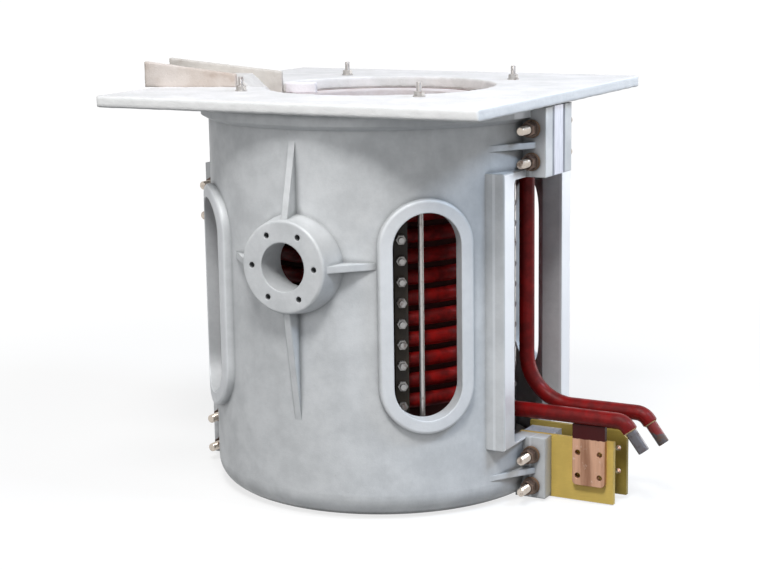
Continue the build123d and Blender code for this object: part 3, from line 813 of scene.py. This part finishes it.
@dataclass(frozen=True)
class HalfPainted:
    """Bare steel tube, painted on its upper part."""

    name: str
    paint_foot: float
    paint: Colour = (0.16, 0.004, 0.004)
    bare: Colour = (0.08, 0.075, 0.08)
    rust: Colour = (0.10, 0.06, 0.045)
    spots: Pattern = Pattern(110.0, 5.0, 0.6, low=0.45, high=0.7)
    line: PaintLine = PaintLine(Pattern(130.0, 3.0), 10 * MM, 4 * MM, 7 * MM)
    metallic: float = 0.75
    bright: float = 0.36
    dull: float = 0.6
    skin: Relief = Relief(Pattern(600.0, 2.0), 0.25, 0.2 * MM)
    edge_radius: float = 0.8 * MM

    def build(self) -> bpy.types.Material:
        """Makes the material.

        Returns:
            The material.
        """
        shader = Shader(self.name)
        rusty = shader.patches(self.spots)
        steel = shader.mix(rusty, self.bare, self.rust)
        painted = self.line.above(shader, self.paint_foot)
        shader.set("Base Color", shader.mix(painted, steel, self.paint))
        shader.set("Metallic", shader.between(painted, self.metallic, 0.0))
        shader.set("Roughness", shader.between(rusty, self.bright, self.dull))
        shader.set("Normal", shader.emboss(self.skin, shader.soft_edge(self.edge_radius)))
        return shader.material


class Workshop:
    """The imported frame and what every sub-assembly does with it."""

    def __init__(self, frame: dict) -> None:
        """Keeps the frame.
        """
        self.nodes: dict[str, bpy.types.Object] = frame["nodes"]
        self.record: dict = frame["record"]

    def slot_of(self, node: str) -> str:
        """Looks up the record's material slot of one node.

        Args:
            node: The node's name.

        Returns:
            The slot's name.
        """
        return next(
            part["material_slot"] for part in self.record["subparts"] if part["node"] == node
        )

    def dress(self, node: str, material: bpy.types.Material) -> None:
        """Gives a CAD node its finish.

        Args:
            node: The node's name.
            material: The finish.
        """
        owner = self.nodes[node]
        if not owner.material_slots:
            owner.data.materials.append(material)
        for slot in owner.material_slots:
            slot.material = material
        LOG.info("dressed %s", node)

    def copy_of(self, node: str) -> bmesh.types.BMesh:
        """Copies a CAD node's mesh, whose triangles are loose.

        Args:
            node: The node's name.

        Returns:
            The copy, with its doubles merged.
        """
        mesh = bmesh.new()
        mesh.from_mesh(self.nodes[node].data)
        bmesh.ops.remove_doubles(mesh, verts=mesh.verts, dist=COPY_DOUBLES)
        return mesh

    def add(
        self,
        name: str,
        mesh: bmesh.types.BMesh,
        material: bpy.types.Material,
        stands_for: tuple[str, ...] = (),
        slot: str | None = None,
        smooth_angle: float = 35.0,
    ) -> bpy.types.Object:
        """Makes a piece of a finished mesh and lets it ride on the furnace.

        Args:
            name: The piece's name.
            mesh: Its mesh, which is used up.
            material: Its finish.
            stands_for: The CAD nodes that it replaces.
            slot: The record's slot, or None for that of the first node it replaces; it is looked up
                but not used.
            smooth_angle: Edges sharper than this stay sharp, in degrees.

        Returns:
            The piece.
        """
        for face in mesh.faces:
            face.smooth = True
        for edge in mesh.edges:
            turned = len(edge.link_faces) == 2 and edge.calc_face_angle(0.0)
            edge.smooth = not turned or turned < math.radians(smooth_angle)
        data = bpy.data.meshes.new(name)
        mesh.to_mesh(data)
        mesh.free()
        data.materials.append(material)
        piece = bpy.data.objects.new(name, data)
        bpy.context.scene.collection.objects.link(piece)
        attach(piece, ROOT)
        if stands_for:
            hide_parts(*stands_for)
            slot = slot or self.slot_of(stands_for[0])
        LOG.info("made %s with %d faces", name, len(data.polygons))
        return piece


@dataclass(frozen=True)
class RoughSkin:
    """The rough skin of a sawn or hand-laid piece, with its lengths in metres."""

    voxel: float
    lumps: float
    lump_size: float
    smoothings: int = 1
    smoothing: float = 0.5
    octaves: int = 4
    rest_level: float = 0.35

    def roughen(self, piece: bpy.types.Object) -> None:
        """Turns a crisp piece into a rough one.

        Args:
            piece: The piece.
        """
        remesh = piece.modifiers.new("remesh", "REMESH")
        remesh.mode = "VOXEL"
        remesh.voxel_size = self.voxel
        remesh.use_smooth_shade = True
        if self.smoothings:
            settle = piece.modifiers.new("settle", "SMOOTH")
            settle.factor = self.smoothing
            settle.iterations = self.smoothings
        pattern = bpy.data.textures.new(piece.name + "_lumps", "CLOUDS")
        pattern.noise_scale = self.lump_size
        pattern.noise_depth = self.octaves
        push = piece.modifiers.new("lumps", "DISPLACE")
        push.texture = pattern
        push.texture_coords = "LOCAL"
        push.strength = self.lumps
        push.mid_level = self.rest_level


def ring_of(
    mesh: bmesh.types.BMesh, sides: int, radius: float, place: Matrix
) -> list[bmesh.types.BMVert]:
    """Adds an open ring of edges.

    Args:
        mesh: The mesh.
        sides: Edges in the ring.
        radius: The ring's radius.
        place: Where its middle goes and how it is turned.

    Returns:
        The ring's corners, in order.
    """
    made = bmesh.ops.create_circle(
        mesh, cap_ends=False, segments=sides, radius=radius, matrix=place
    )
    return made["verts"]


def ring_edges(corners: list[bmesh.types.BMVert]) -> list[bmesh.types.BMEdge]:
    """Finds the edges that join the corners of one ring.

    Args:
        corners: The ring's corners.

    Returns:
        The ring's edges.
    """
    own = set(corners)
    found = {edge for corner in corners for edge in corner.link_edges}
    return [edge for edge in found if own.issuperset(edge.verts)]


def spin_round(
    mesh: bmesh.types.BMesh,
    corners: list[bmesh.types.BMVert],
    edges: list[bmesh.types.BMEdge],
    steps: int,
) -> None:
    """Spins a line once round Z and merges where it meets itself.

    Args:
        mesh: The mesh.
        corners: The line's corners.
        edges: Its edges.
        steps: Steps round the turn.
    """
    bmesh.ops.spin(
        mesh,
        geom=corners + edges,
        cent=(0, 0, 0),
        axis=(0, 0, 1),
        dvec=(0, 0, 0),
        angle=FULL_TURN,
        steps=steps,
        use_merge=True,
        use_duplicate=False,
    )
    bmesh.ops.remove_doubles(mesh, verts=mesh.verts, dist=SPIN_DOUBLES)


def turned_mesh(profile: list[tuple[float, float]], sides: int) -> bmesh.types.BMesh:
    """Turns a profile about Z.

    Args:
        profile: Radius and height of each point, from one end of the axis to the other.
        sides: Steps round the turn.

    Returns:
        The closed mesh.
    """
    mesh = bmesh.new()
    corners = [mesh.verts.new((radius, 0, height)) for radius, height in profile]
    edges = [mesh.edges.new(pair) for pair in zip(corners, corners[1:])]
    spin_round(mesh, corners, edges, sides)
    bmesh.ops.recalc_face_normals(mesh, faces=mesh.faces)
    return mesh


def repeated(pattern: bmesh.types.BMesh, places: list[Matrix]) -> bmesh.types.BMesh:
    """Sets copies of a mesh at several places, in one mesh.

    Args:
        pattern: The mesh, which is used up.
        places: Where each copy goes.

    Returns:
        The mesh with all copies.
    """
    data = bpy.data.meshes.new("pattern")
    pattern.to_mesh(data)
    pattern.free()
    whole = bmesh.new()
    for place in places:
        before = len(whole.verts)
        whole.from_mesh(data)
        whole.verts.ensure_lookup_table()
        bmesh.ops.transform(whole, matrix=place, verts=whole.verts[before:])
    bpy.data.meshes.remove(data)
    return whole


@dataclass(frozen=True)
class Thread:
    """A rod with a thread at both ends.

    The lengths are in metres. A ridge's root and crest are shares of the pitch, and the chamfer
    and the shank's inset are shares of the thread's depth.
    """

    radius: float
    pitch: float
    depth: float
    length: float
    low_thread: float
    high_thread: float
    sides: int = 20
    root: float = 0.1
    crest_from: float = 0.5
    crest_to: float = 0.62
    chamfer: float = 1.6
    shank_inset: float = 0.3

    def ridges(self, start: float, end: float) -> list[tuple[float, float]]:
        """Draws the zigzag of one thread.

        Args:
            start: Where it begins along the rod.
            end: Where it ends.

        Returns:
            Radius and height of each point.
        """
        turns = max(1, round((end - start) / self.pitch))
        step = (end - start) / turns
        points = []
        for turn in range(turns):
            low = start + turn * step
            points.append((self.radius - self.depth, low + self.root * step))
            points.append((self.radius, low + self.crest_from * step))
            points.append((self.radius, low + self.crest_to * step))
        return points

    def mesh(self) -> bmesh.types.BMesh:
        """Turns the rod, upright on Z from 0 to its length.

        Returns:
            The rod's mesh.
        """
        end = self.radius - self.chamfer * self.depth
        shank = self.radius - self.shank_inset * self.depth
        profile = [(0.0, 0.0), (end, 0.0)]
        profile += self.ridges(self.depth, self.low_thread)
        profile += [
            (shank, self.low_thread + self.pitch),
            (shank, self.length - self.high_thread - self.pitch),
        ]
        profile += self.ridges(self.length - self.high_thread, self.length - self.depth)
        profile += [(end, self.length), (0.0, self.length)]
        return turned_mesh(profile, self.sides)


@dataclass(frozen=True)
class Nut:
    """A hexagon nut with chamfered corners, standing on its lower face.

    The bore is a radius. The chamfer begins at a share of the flats' distance, and the
    countersink is a share of the bore.
    """

    across_flats: float
    height: float
    bore: float
    corners: int = 6
    points_per_side: int = 6
    chamfer_slope: float = 30.0
    flat_share: float = 0.97
    countersink: float = 1.12
    countersink_slope: float = 0.5

    def mesh(self) -> bmesh.types.BMesh:
        """Bridges the nut's rings, on Z from 0 to its height.

        Returns:
            The nut's mesh.
        """
        mesh = bmesh.new()
        sides = self.corners * self.points_per_side
        flat = self.across_flats / 2 * self.flat_share
        countersink = self.bore * self.countersink
        dip = self.countersink_slope * (countersink - self.bore)
        outline = [
            (self.bore, dip),
            (countersink, 0.0),
            (flat, 0.0),
            (None, 0.0),
            (None, self.height),
            (flat, self.height),
            (countersink, self.height),
            (self.bore, self.height - dip),
        ]
        rings = []
        for radius, height in outline:
            ring = ring_of(mesh, sides, radius or flat, Matrix.Translation((0, 0, height)))
            if radius is None:
                self.push_out(ring, flat, inward=1 if height == 0.0 else -1)
            rings.append(ring)
        for lower, upper in zip(rings, rings[1:] + rings[:1]):
            bmesh.ops.bridge_loops(mesh, edges=ring_edges(lower) + ring_edges(upper))
        bmesh.ops.recalc_face_normals(mesh, faces=mesh.faces)
        return mesh

    def push_out(self, ring: list[bmesh.types.BMVert], flat: float, inward: int) -> None:
        """Moves a ring out to the hexagon, and its corners back along the chamfer.

        Args:
            ring: The ring's corners.
            flat: The radius at which the chamfer begins.
            inward: 1 if the nut lies above the ring, -1 if below.
        """
        slope = math.tan(math.radians(self.chamfer_slope))
        side = FULL_TURN / self.corners
        for corner in ring:
            angle = math.atan2(corner.co.y, corner.co.x)
            off_flat = (angle + side / 2) % side - side / 2
            radius = self.across_flats / 2 / math.cos(off_flat)
            corner.co.x = radius * math.cos(angle)
            corner.co.y = radius * math.sin(angle)
            corner.co.z += inward * max(0.0, radius - flat) * slope


@dataclass(frozen=True)
class Bead:
    """A rippled bead of braze round a tube, about Z."""

    tube_radius: float
    radius: float
    ripples: int = 26
    ripple_depth: float = 0.16
    steps_per_ripple: int = 3
    sides: int = 8

    def mesh(self) -> bmesh.types.BMesh:
        """Spins the bead round the origin and ripples it.

        Returns:
            The bead's mesh.
        """
        mesh = bmesh.new()
        side = Matrix.Translation((self.tube_radius, 0, 0)) @ Matrix.Rotation(math.pi / 2, 4, "X")
        ring = ring_of(mesh, self.sides, self.radius, side)
        spin_round(mesh, ring, ring_edges(ring), self.steps_per_ripple * self.ripples)
        for corner in mesh.verts:
            angle = math.atan2(corner.co.y, corner.co.x)
            middle = self.tube_radius * Vector((math.cos(angle), math.sin(angle), 0))
            ripple = 1 + self.ripple_depth * math.sin(self.ripples * angle)
            corner.co = middle + (corner.co - middle) * ripple
        bmesh.ops.recalc_face_normals(mesh, faces=mesh.faces)
        return mesh


def upright_to(direction: Vector, origin: Vector) -> Matrix:
    """Gives the placement that turns Z to a direction and moves it to a point."""
    return Matrix.Translation(origin) @ direction.to_track_quat("Z", "Y").to_matrix().to_4x4()


@dataclass
class ShellCastings:
    """The two half shells and what lies in the joint between them."""

    workshop: Workshop
    spacer_nodes: tuple[str, ...] = ("joint_spacer_lower", "joint_spacer_upper")
    gasket_nodes: tuple[str, ...] = (
        "joint_gasket_upper_front",
        "joint_gasket_upper_rear",
        "joint_gasket_lower_front",
        "joint_gasket_lower_rear",
    )

    def build(self) -> None:
        """Dresses the castings, spacers and gaskets."""
        shop = self.workshop
        cast = CastAluminium("cast_aluminium").build()
        shop.dress("shell_half_front", cast)
        shop.dress("shell_half_rear", cast)
        milled = MilledAluminium("milled_aluminium").build()
        for node in self.spacer_nodes:
            shop.dress(node, milled)
        mica = Laminate(
            "mica_gasket", (0.40, 0.41, 0.45), (0.30, 0.30, 0.33), roughness=0.6
        ).build()
        for node in self.gasket_nodes:
            shop.dress(node, mica)


@dataclass
class JointBolting:
    """Studs, nuts and washers that hold the halves together."""

    workshop: Workshop
    stud_radius: float = 8 * MM
    thread_pitch: float = 2 * MM
    thread_depth: float = 1.0 * MM
    thread_length: float = 42 * MM
    thread_sides: int = 24
    nut_across_flats: float = 24 * MM
    bore_clearance: float = 0.2 * MM

    def places(self) -> list[Vector]:
        """Finds the middle of each stud from the bushes round them.

        Returns:
            One point for each stud.
        """
        mesh = self.workshop.copy_of("flange_bushes")
        islands: list[list[Vector]] = []
        seen: set = set()
        for start in mesh.verts:
            if start in seen:
                continue
            stack, island = [start], []
            seen.add(start)
            while stack:
                corner = stack.pop()
                island.append(corner.co.copy())
                for edge in corner.link_edges:
                    other = edge.other_vert(corner)
                    if other not in seen:
                        seen.add(other)
                        stack.append(other)
            islands.append(island)
        mesh.free()
        return [sum(island, Vector()) / len(island) for island in islands]

    def build(self) -> None:
        """Makes the threaded studs and the nuts, and dresses the rest."""
        shop = self.workshop
        low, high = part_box("flange_studs")
        thread = Thread(
            self.stud_radius,
            self.thread_pitch,
            self.thread_depth,
            high.y - low.y,
            self.thread_length,
            self.thread_length,
            self.thread_sides,
        )
        spots = self.places()
        along = Vector((0, 1, 0))
        rods = [upright_to(along, Vector((spot.x, low.y, spot.z))) for spot in spots]
        zinc = Steel(
            "stud_zinc", (0.60, 0.53, 0.46), (0.26, 0.17, 0.12), rust_share=0.35, roughness=0.28
        ).build()
        shop.add("joint_studs", repeated(thread.mesh(), rods), zinc, ("flange_studs",))
        nut_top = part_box("flange_nuts")[1].y
        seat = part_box("flange_steel_washers")[1].y
        nut = Nut(self.nut_across_flats, nut_top - seat, self.stud_radius + self.bore_clearance)
        seats = [upright_to(along, Vector((spot.x, seat, spot.z))) for spot in spots]
        seats += [upright_to(-along, Vector((spot.x, -seat, spot.z))) for spot in spots]
        brown = Steel(
            "nut_brown", (0.17, 0.12, 0.095), (0.075, 0.042, 0.03), rust_share=0.6, roughness=0.42
        ).build()
        shop.add("joint_nuts", repeated(nut.mesh(), seats), brown, ("flange_nuts",))
        dull = Steel(
            "washer_dull", (0.17, 0.13, 0.105), (0.085, 0.05, 0.035), rust_share=0.5, roughness=0.45
        ).build()
        shop.dress("flange_steel_washers", dull)
        phenolic = Laminate("brown_phenolic", (0.16, 0.085, 0.045), (0.26, 0.15, 0.08)).build()
        shop.dress("flange_insulating_washers", phenolic)
        shop.dress("flange_bushes", phenolic)


@dataclass
class CoilGroup:
    """The coil, its end blocks, posts and studs."""

    workshop: Workshop
    post_count: int = 8

    def build(self) -> None:
        """Dresses the coil and its posts."""
        shop = self.workshop
        dark_red = Enamel("coil_enamel", (0.30, 0.007, 0.006), (0.11, 0.003, 0.003)).build()
        shop.dress("induction_coil", dark_red)
        shop.dress("coil_end_block_lower", dark_red)
        shop.dress("coil_end_block_upper", dark_red)
        bakelite = Laminate(
            "bakelite", (0.012, 0.010, 0.009), (0.045, 0.034, 0.022), roughness=0.55
        ).build()
        for number in range(1, self.post_count + 1):
            shop.dress(f"coil_post_{number}", bakelite)
        studs = Steel("coil_stud", (0.36, 0.35, 0.34), (0.18, 0.12, 0.10)).build()
        shop.dress("coil_studs", studs)
        nuts = Steel(
            "coil_nut", (0.30, 0.29, 0.28), (0.15, 0.12, 0.10), rust_share=0.5, roughness=0.5
        ).build()
        shop.dress("coil_stud_nuts", nuts)


@dataclass
class LeadGroup:
    """The two leads, their nozzles and the terminals."""

    workshop: Workshop
    paint_foot: float = 120 * MM
    nozzle_radius: float = 10.5 * MM
    nozzle_slope: float = 53.0
    bead_radius: float = 2.2 * MM

    def braze(self, name: str, nozzle: str, material: bpy.types.Material) -> None:
        """Lays a braze bead round a nozzle where it leaves its lead.

        Args:
            name: The bead's name.
            nozzle: The nozzle's node.
            material: The bead's finish.
        """
        low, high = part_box(nozzle)
        drop = math.radians(self.nozzle_slope)
        along = Vector((math.cos(drop), 0, -math.sin(drop)))
        start = Vector(
            (
                low.x + self.nozzle_radius * math.sin(drop),
                (low.y + high.y) / 2,
                high.z - self.nozzle_radius * math.cos(drop),
            )
        )
        bead = Bead(self.nozzle_radius, self.bead_radius).mesh()
        bmesh.ops.transform(bead, matrix=upright_to(along, start), verts=bead.verts)
        self.workshop.add(name, bead, material, slot=self.workshop.slot_of(nozzle))

    def build(self) -> None:
        """Dresses the leads and the terminals."""
        shop = self.workshop
        red = Enamel(
            "lead_enamel",
            (0.23, 0.005, 0.005),
            (0.11, 0.003, 0.003),
            dust_share=0.1,
            roughness=0.3,
            gloss=0.2,
        ).build()
        shop.dress("coil_lead_lower", red)
        shop.dress("coil_lead_upper", red)
        steel = Steel(
            "nozzle_steel",
            (0.12, 0.115, 0.125),
            (0.06, 0.035, 0.033),
            rust_share=0.45,
            roughness=0.34,
        ).build()
        shop.dress("hose_nozzle_lower", steel)
        low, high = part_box("hose_nozzle_upper")
        middle = (low.z + high.z) / 2
        shop.dress("hose_nozzle_upper", HalfPainted("nozzle_half_painted", middle).build())
        brass = Steel(
            "braze_metal", (0.42, 0.30, 0.17), (0.16, 0.09, 0.06), rust_share=0.6, roughness=0.5
        ).build()
        self.braze("braze_bead_lower", "hose_nozzle_lower", brass)
        self.braze("braze_bead_upper", "hose_nozzle_upper", brass)
        epoxy = Laminate("glass_epoxy", (0.80, 0.58, 0.15), (0.66, 0.47, 0.12)).build()
        shop.dress("terminal_board_front", epoxy)
        # Painted shade: the rear board is the front board's epoxy at about half its brightness, for
        # the shade it stands in.
        shaded_epoxy = Laminate("glass_epoxy_painted_shade", (0.40, 0.30, 0.07), (0.30, 0.22, 0.05)).build()
        shop.dress("terminal_board_rear", shaded_epoxy)
        copper = Tarnish("terminal_copper", self.paint_foot).build()
        shop.dress("terminal_plate_front", copper)
        shop.dress("terminal_plate_rear", copper)


@dataclass
class RefractoryGroup:
    """Boards, lining and everything else that stands the heat."""

    workshop: Workshop
    scorch_depth: float = 110 * MM
    board_skin: RoughSkin = RoughSkin(3.6 * MM, 1.8 * MM, 22 * MM, smoothings=0)

    def build(self) -> None:
        """Dresses the inner pieces and roughens the top board."""
        shop = self.workshop
        cement = Mineral(
            "floor_cement", (0.62, 0.61, 0.59), (0.46, 0.45, 0.43), (0.30, 0.27, 0.24)
        ).build()
        shop.dress("floor_board", cement)
        castable = Mineral(
            "castable", (0.68, 0.64, 0.62), (0.54, 0.50, 0.48), (0.34, 0.28, 0.25), coarse=1.5
        ).build()
        shop.dress("base_block", castable)
        shop.dress("top_ring", castable)
        # The grout between the turns: red overspray, darkened further as painted shade between the
        # turns.
        overspray_and_shade = Mineral(
            "grout_overspray_and_painted_shade", (0.10, 0.022, 0.018), (0.05, 0.014, 0.012), (0.03, 0.02, 0.02)
        ).build()
        shop.dress("coil_grout", overspray_and_shade)
        paper = Laminate(
            "mica_paper", (0.70, 0.64, 0.60), (0.58, 0.52, 0.47), roughness=0.8
        ).build()
        shop.dress("lining_sleeve", paper)
        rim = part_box("rammed_lining")[1].z
        lining = FiredLining("fired_lining", rim, rim - self.scorch_depth).build()
        shop.dress("rammed_lining", lining)
        board = Mineral(
            "fibre_cement",
            (0.77, 0.745, 0.735),
            (0.65, 0.635, 0.62),
            (0.48, 0.48, 0.45),
            stain_share=0.3,
            # This board's upright outer edges are painted brighter, as painted light.
            edge_light_share=1.0,
        ).build()
        slab = shop.add("rough_top_board", shop.copy_of("top_board"), board, ("top_board",))
        self.board_skin.roughen(slab)


@dataclass
class TieRods:
    """The rods through both boards, with their nuts and washers."""

    workshop: Workshop
    radius: float = 5 * MM
    thread_pitch: float = 1.5 * MM
    thread_depth: float = 0.7 * MM
    low_thread: float = 36 * MM
    high_thread: float = 40 * MM
    nut_across_flats: float = 16 * MM
    nut_height: float = 8 * MM
    bore_clearance: float = 0.2 * MM

    def build(self) -> None:
        """Makes the rods and nuts and dresses the washers."""
        shop = self.workshop
        low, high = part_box("tie_rods")
        x, y = high.x - self.radius, high.y - self.radius
        spots = [(x, y), (-x, y), (x, -y), (-x, -y)]
        rod = Thread(
            self.radius,
            self.thread_pitch,
            self.thread_depth,
            high.z - low.z,
            self.low_thread,
            self.high_thread,
        )
        places = [Matrix.Translation((spot[0], spot[1], low.z)) for spot in spots]
        bright = Steel(
            "rod_steel", (0.50, 0.475, 0.46), (0.30, 0.25, 0.22), rust_share=0.3, roughness=0.36
        ).build()
        shop.add("threaded_tie_rods", repeated(rod.mesh(), places), bright, ("tie_rods",))
        nut = Nut(self.nut_across_flats, self.nut_height, self.radius + self.bore_clearance)
        nut_low, nut_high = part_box("tie_rod_nuts")
        seats = [
            Matrix.Translation((spot[0], spot[1], height))
            for spot in spots
            for height in (nut_low.z, nut_high.z - self.nut_height)
        ]
        grey = Steel("rod_nut", (0.48, 0.46, 0.44), (0.24, 0.19, 0.16), roughness=0.42).build()
        shop.add("tie_nuts", repeated(nut.mesh(), seats), grey, ("tie_rod_nuts",))
        shop.dress("tie_rod_washers", grey)


@dataclass
class Spout:
    """The side plates and the tongue of the pouring spout, and the mortar between them."""

    workshop: Workshop
    plate_skin: RoughSkin = RoughSkin(2.2 * MM, 1.6 * MM, 18 * MM)
    mortar_skin: RoughSkin = RoughSkin(2 * MM, 2 * MM, 14 * MM)

    def build(self) -> None:
        """Roughens the plates, the tongue and the mortar."""
        shop = self.workshop
        pink = Mineral(
            "spout_front_board",
            (0.64, 0.575, 0.525),
            (0.53, 0.455, 0.40),
            (0.38, 0.27, 0.205),
            stain_share=0.6,
        ).build()
        grey = Mineral(
            "spout_rear_board",
            (0.62, 0.58, 0.53),
            (0.48, 0.44, 0.40),
            (0.34, 0.28, 0.23),
            stain_share=0.5,
        ).build()
        pale = Mineral(
            "spout_tongue_board", (0.80, 0.77, 0.79), (0.68, 0.64, 0.66), (0.42, 0.36, 0.34)
        ).build()
        mortar = Mineral(
            "spout_mortar_mix",
            (0.66, 0.635, 0.61),
            (0.54, 0.51, 0.48),
            (0.40, 0.33, 0.28),
            coarse=1.3,
        ).build()
        pieces = (
            ("spout_plate_front", pink, self.plate_skin),
            ("spout_plate_rear", grey, self.plate_skin),
            ("spout_tongue", pale, self.plate_skin),
            ("spout_mortar", mortar, self.mortar_skin),
        )
        for node, finish, skin in pieces:
            piece = shop.add(f"rough_{node}", shop.copy_of(node), finish, (node,))
            skin.roughen(piece)


@dataclass(frozen=True)
class Lamp:
    """A square soft lamp: its place, its side in metres, its power in watts and its colour."""

    name: str
    place: tuple[float, float, float]
    size: float
    power: float
    colour: Colour = (1.0, 1.0, 1.0)

    def hang(self, aim: Vector) -> None:
        """Hangs the lamp in the scene.

        Args:
            aim: The point that it looks at.
        """
        data = bpy.data.lights.new(self.name, "AREA")
        data.size = self.size
        data.energy = self.power
        data.color = self.colour
        lamp = bpy.data.objects.new(self.name, data)
        place = Vector(self.place)
        lamp.matrix_world = upright_to(place - aim, place)
        bpy.context.scene.collection.objects.link(lamp)


@dataclass
class Studio:
    """Camera, floor, lamps and world.

    The camera's turns are in degrees. The floor shows the shadow within shadow_reach of the
    furnace and is white from white_reach on.
    """

    place: tuple[float, float, float] = (1.59409, -2.91150, 1.01052)
    yaw: float = 28.8196
    pitch: float = 11.0679
    roll: float = -0.8903
    focal_length: float = 84.443
    sensor_width: float = 36.0
    sight: float = 100.0
    lamps: tuple[Lamp, ...] = (
        Lamp("front", (-0.7, -4.0, 1.9), 1.6, 18.0),
        Lamp("key", (0.904, -2.483, 3.684), 0.9, 108.0),
        Lamp("high", (0.372, -1.387, 4.368), 0.9, 34.0),
        Lamp("side", (3.02, 0.0, 3.34), 0.9, 78.0, (0.64, 0.79, 1.0)),
        Lamp("rim", (2.36, 3.36, 1.29), 2.0, 56.0),
    )
    aim_height: float = 0.42
    floor_size: float = 30.0
    floor_drop: float = 0.5 * MM
    floor_lighting: float = 0.16
    floor_seen: float = 0.9
    floor_glow: float = 1.04
    glow_share: float = 0.72
    shadow_reach: float = 0.8
    white_reach: float = 2.2
    sky: Colour = (0.95, 0.97, 1.0)
    sky_strength: float = 0.25
    white: Colour = (1.0, 1.0, 1.0)

    def build(self) -> None:
        """Sets up the whole studio."""
        self.camera()
        self.floor()
        self.world()
        for lamp in self.lamps:
            lamp.hang(Vector((0, 0, self.aim_height)))
        bpy.context.scene.view_settings.view_transform = "Standard"

    def camera(self) -> None:
        """Sets the camera where the photograph was taken."""
        yaw, pitch, roll = (math.radians(turn) for turn in (self.yaw, self.pitch, self.roll))
        forward = Vector(
            (-math.sin(yaw) * math.cos(pitch), math.cos(yaw) * math.cos(pitch), -math.sin(pitch))
        )
        right = Vector((math.cos(yaw), math.sin(yaw), 0))
        up = right.cross(forward)
        turned_right = math.cos(roll) * right + math.sin(roll) * up
        turned_up = -math.sin(roll) * right + math.cos(roll) * up
        data = bpy.data.cameras.new("camera")
        data.lens = self.focal_length
        data.sensor_width = self.sensor_width
        data.clip_end = self.sight
        camera = bpy.data.objects.new("camera", data)
        turn = Matrix((turned_right, turned_up, -forward)).transposed()
        camera.matrix_world = Matrix.Translation(Vector(self.place)) @ turn.to_4x4()
        bpy.context.scene.collection.objects.link(camera)
        bpy.context.scene.camera = camera

    def floor(self) -> None:
        """Lays a pale floor that keeps the furnace's shadow and is white further out."""
        mesh = bmesh.new()
        bmesh.ops.create_grid(mesh, x_segments=1, y_segments=1, size=self.floor_size)
        data = bpy.data.meshes.new("floor")
        mesh.to_mesh(data)
        mesh.free()
        floor = bpy.data.objects.new("floor", data)
        floor.location.z = -self.floor_drop
        data.materials.append(self.floor_finish())
        bpy.context.scene.collection.objects.link(floor)

    def floor_finish(self) -> bpy.types.Material:
        """Makes the floor's material, whose glow only the camera and mirrors see.

        Returns:
            The material.
        """
        material = bpy.data.materials.new("floor")
        material.use_nodes = True
        nodes, links = material.node_tree.nodes, material.node_tree.links
        nodes.clear()
        output = nodes.new("ShaderNodeOutputMaterial")
        diffuse = nodes.new("ShaderNodeBsdfDiffuse")
        seen = self.seen_or_mirrored(nodes, links)
        tone = nodes.new("ShaderNodeMapRange")
        tone.inputs["To Min"].default_value = self.floor_lighting
        tone.inputs["To Max"].default_value = self.floor_seen
        links.new(seen, tone.inputs["Value"])
        links.new(tone.outputs["Result"], diffuse.inputs["Color"])
        glow = nodes.new("ShaderNodeEmission")
        glow.inputs["Strength"].default_value = self.floor_glow
        coordinates = nodes.new("ShaderNodeTexCoord")
        distance = nodes.new("ShaderNodeVectorMath")
        distance.operation = "LENGTH"
        links.new(coordinates.outputs["Object"], distance.inputs[0])
        whiter = nodes.new("ShaderNodeMapRange")
        whiter.interpolation_type = "SMOOTHSTEP"
        whiter.inputs["From Min"].default_value = self.shadow_reach
        whiter.inputs["From Max"].default_value = self.white_reach
        whiter.inputs["To Min"].default_value = self.glow_share
        links.new(distance.outputs["Value"], whiter.inputs["Value"])
        share = nodes.new("ShaderNodeMath")
        share.operation = "MULTIPLY"
        links.new(whiter.outputs["Result"], share.inputs[1])
        links.new(seen, share.inputs[0])
        blend = nodes.new("ShaderNodeMixShader")
        links.new(share.outputs["Value"], blend.inputs["Fac"])
        links.new(diffuse.outputs["BSDF"], blend.inputs[1])
        links.new(glow.outputs["Emission"], blend.inputs[2])
        links.new(blend.outputs["Shader"], output.inputs["Surface"])
        return material

    def seen_or_mirrored(self, nodes: bpy.types.Nodes, links: bpy.types.NodeLinks) -> Socket:
        """Tells rays that show the background from rays that light the furnace.

        Args:
            nodes: The nodes of the material or world.
            links: Their links.

        Returns:
            1 for a camera, mirror or see-through ray and 0 for the rest.
        """
        path = nodes.new("ShaderNodeLightPath")
        mirrored = nodes.new("ShaderNodeMath")
        mirrored.operation = "MAXIMUM"
        links.new(path.outputs["Is Glossy Ray"], mirrored.inputs[0])
        links.new(path.outputs["Is Transmission Ray"], mirrored.inputs[1])
        either = nodes.new("ShaderNodeMath")
        either.operation = "MAXIMUM"
        links.new(path.outputs["Is Camera Ray"], either.inputs[0])
        links.new(mirrored.outputs["Value"], either.inputs[1])
        return either.outputs["Value"]

    def world(self) -> None:
        """Lights the furnace from all round and shows white behind it."""
        world = bpy.data.worlds.new("studio")
        world.use_nodes = True
        nodes, links = world.node_tree.nodes, world.node_tree.links
        nodes.clear()
        output = nodes.new("ShaderNodeOutputWorld")
        soft = nodes.new("ShaderNodeBackground")
        soft.inputs["Color"].default_value = (*self.sky, 1.0)
        soft.inputs["Strength"].default_value = self.sky_strength
        white = nodes.new("ShaderNodeBackground")
        white.inputs["Color"].default_value = (*self.white, 1.0)
        blend = nodes.new("ShaderNodeMixShader")
        links.new(self.seen_or_mirrored(nodes, links), blend.inputs["Fac"])
        links.new(soft.outputs["Background"], blend.inputs[1])
        links.new(white.outputs["Background"], blend.inputs[2])
        links.new(blend.outputs["Shader"], output.inputs["Surface"])
        bpy.context.scene.world = world


def main() -> None:
    """Builds the furnace's looks."""
    logging.basicConfig(level=logging.INFO, format="%(name)s: %(message)s")
    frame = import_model()
    workshop = Workshop(frame)
    for group in (
        ShellCastings(workshop),
        JointBolting(workshop),
        CoilGroup(workshop),
        LeadGroup(workshop),
        RefractoryGroup(workshop),
        TieRods(workshop),
        Spout(workshop),
        Studio(),
    ):
        LOG.info("building %s", type(group).__name__)
        group.build()


if __name__ == "__main__":
    main()
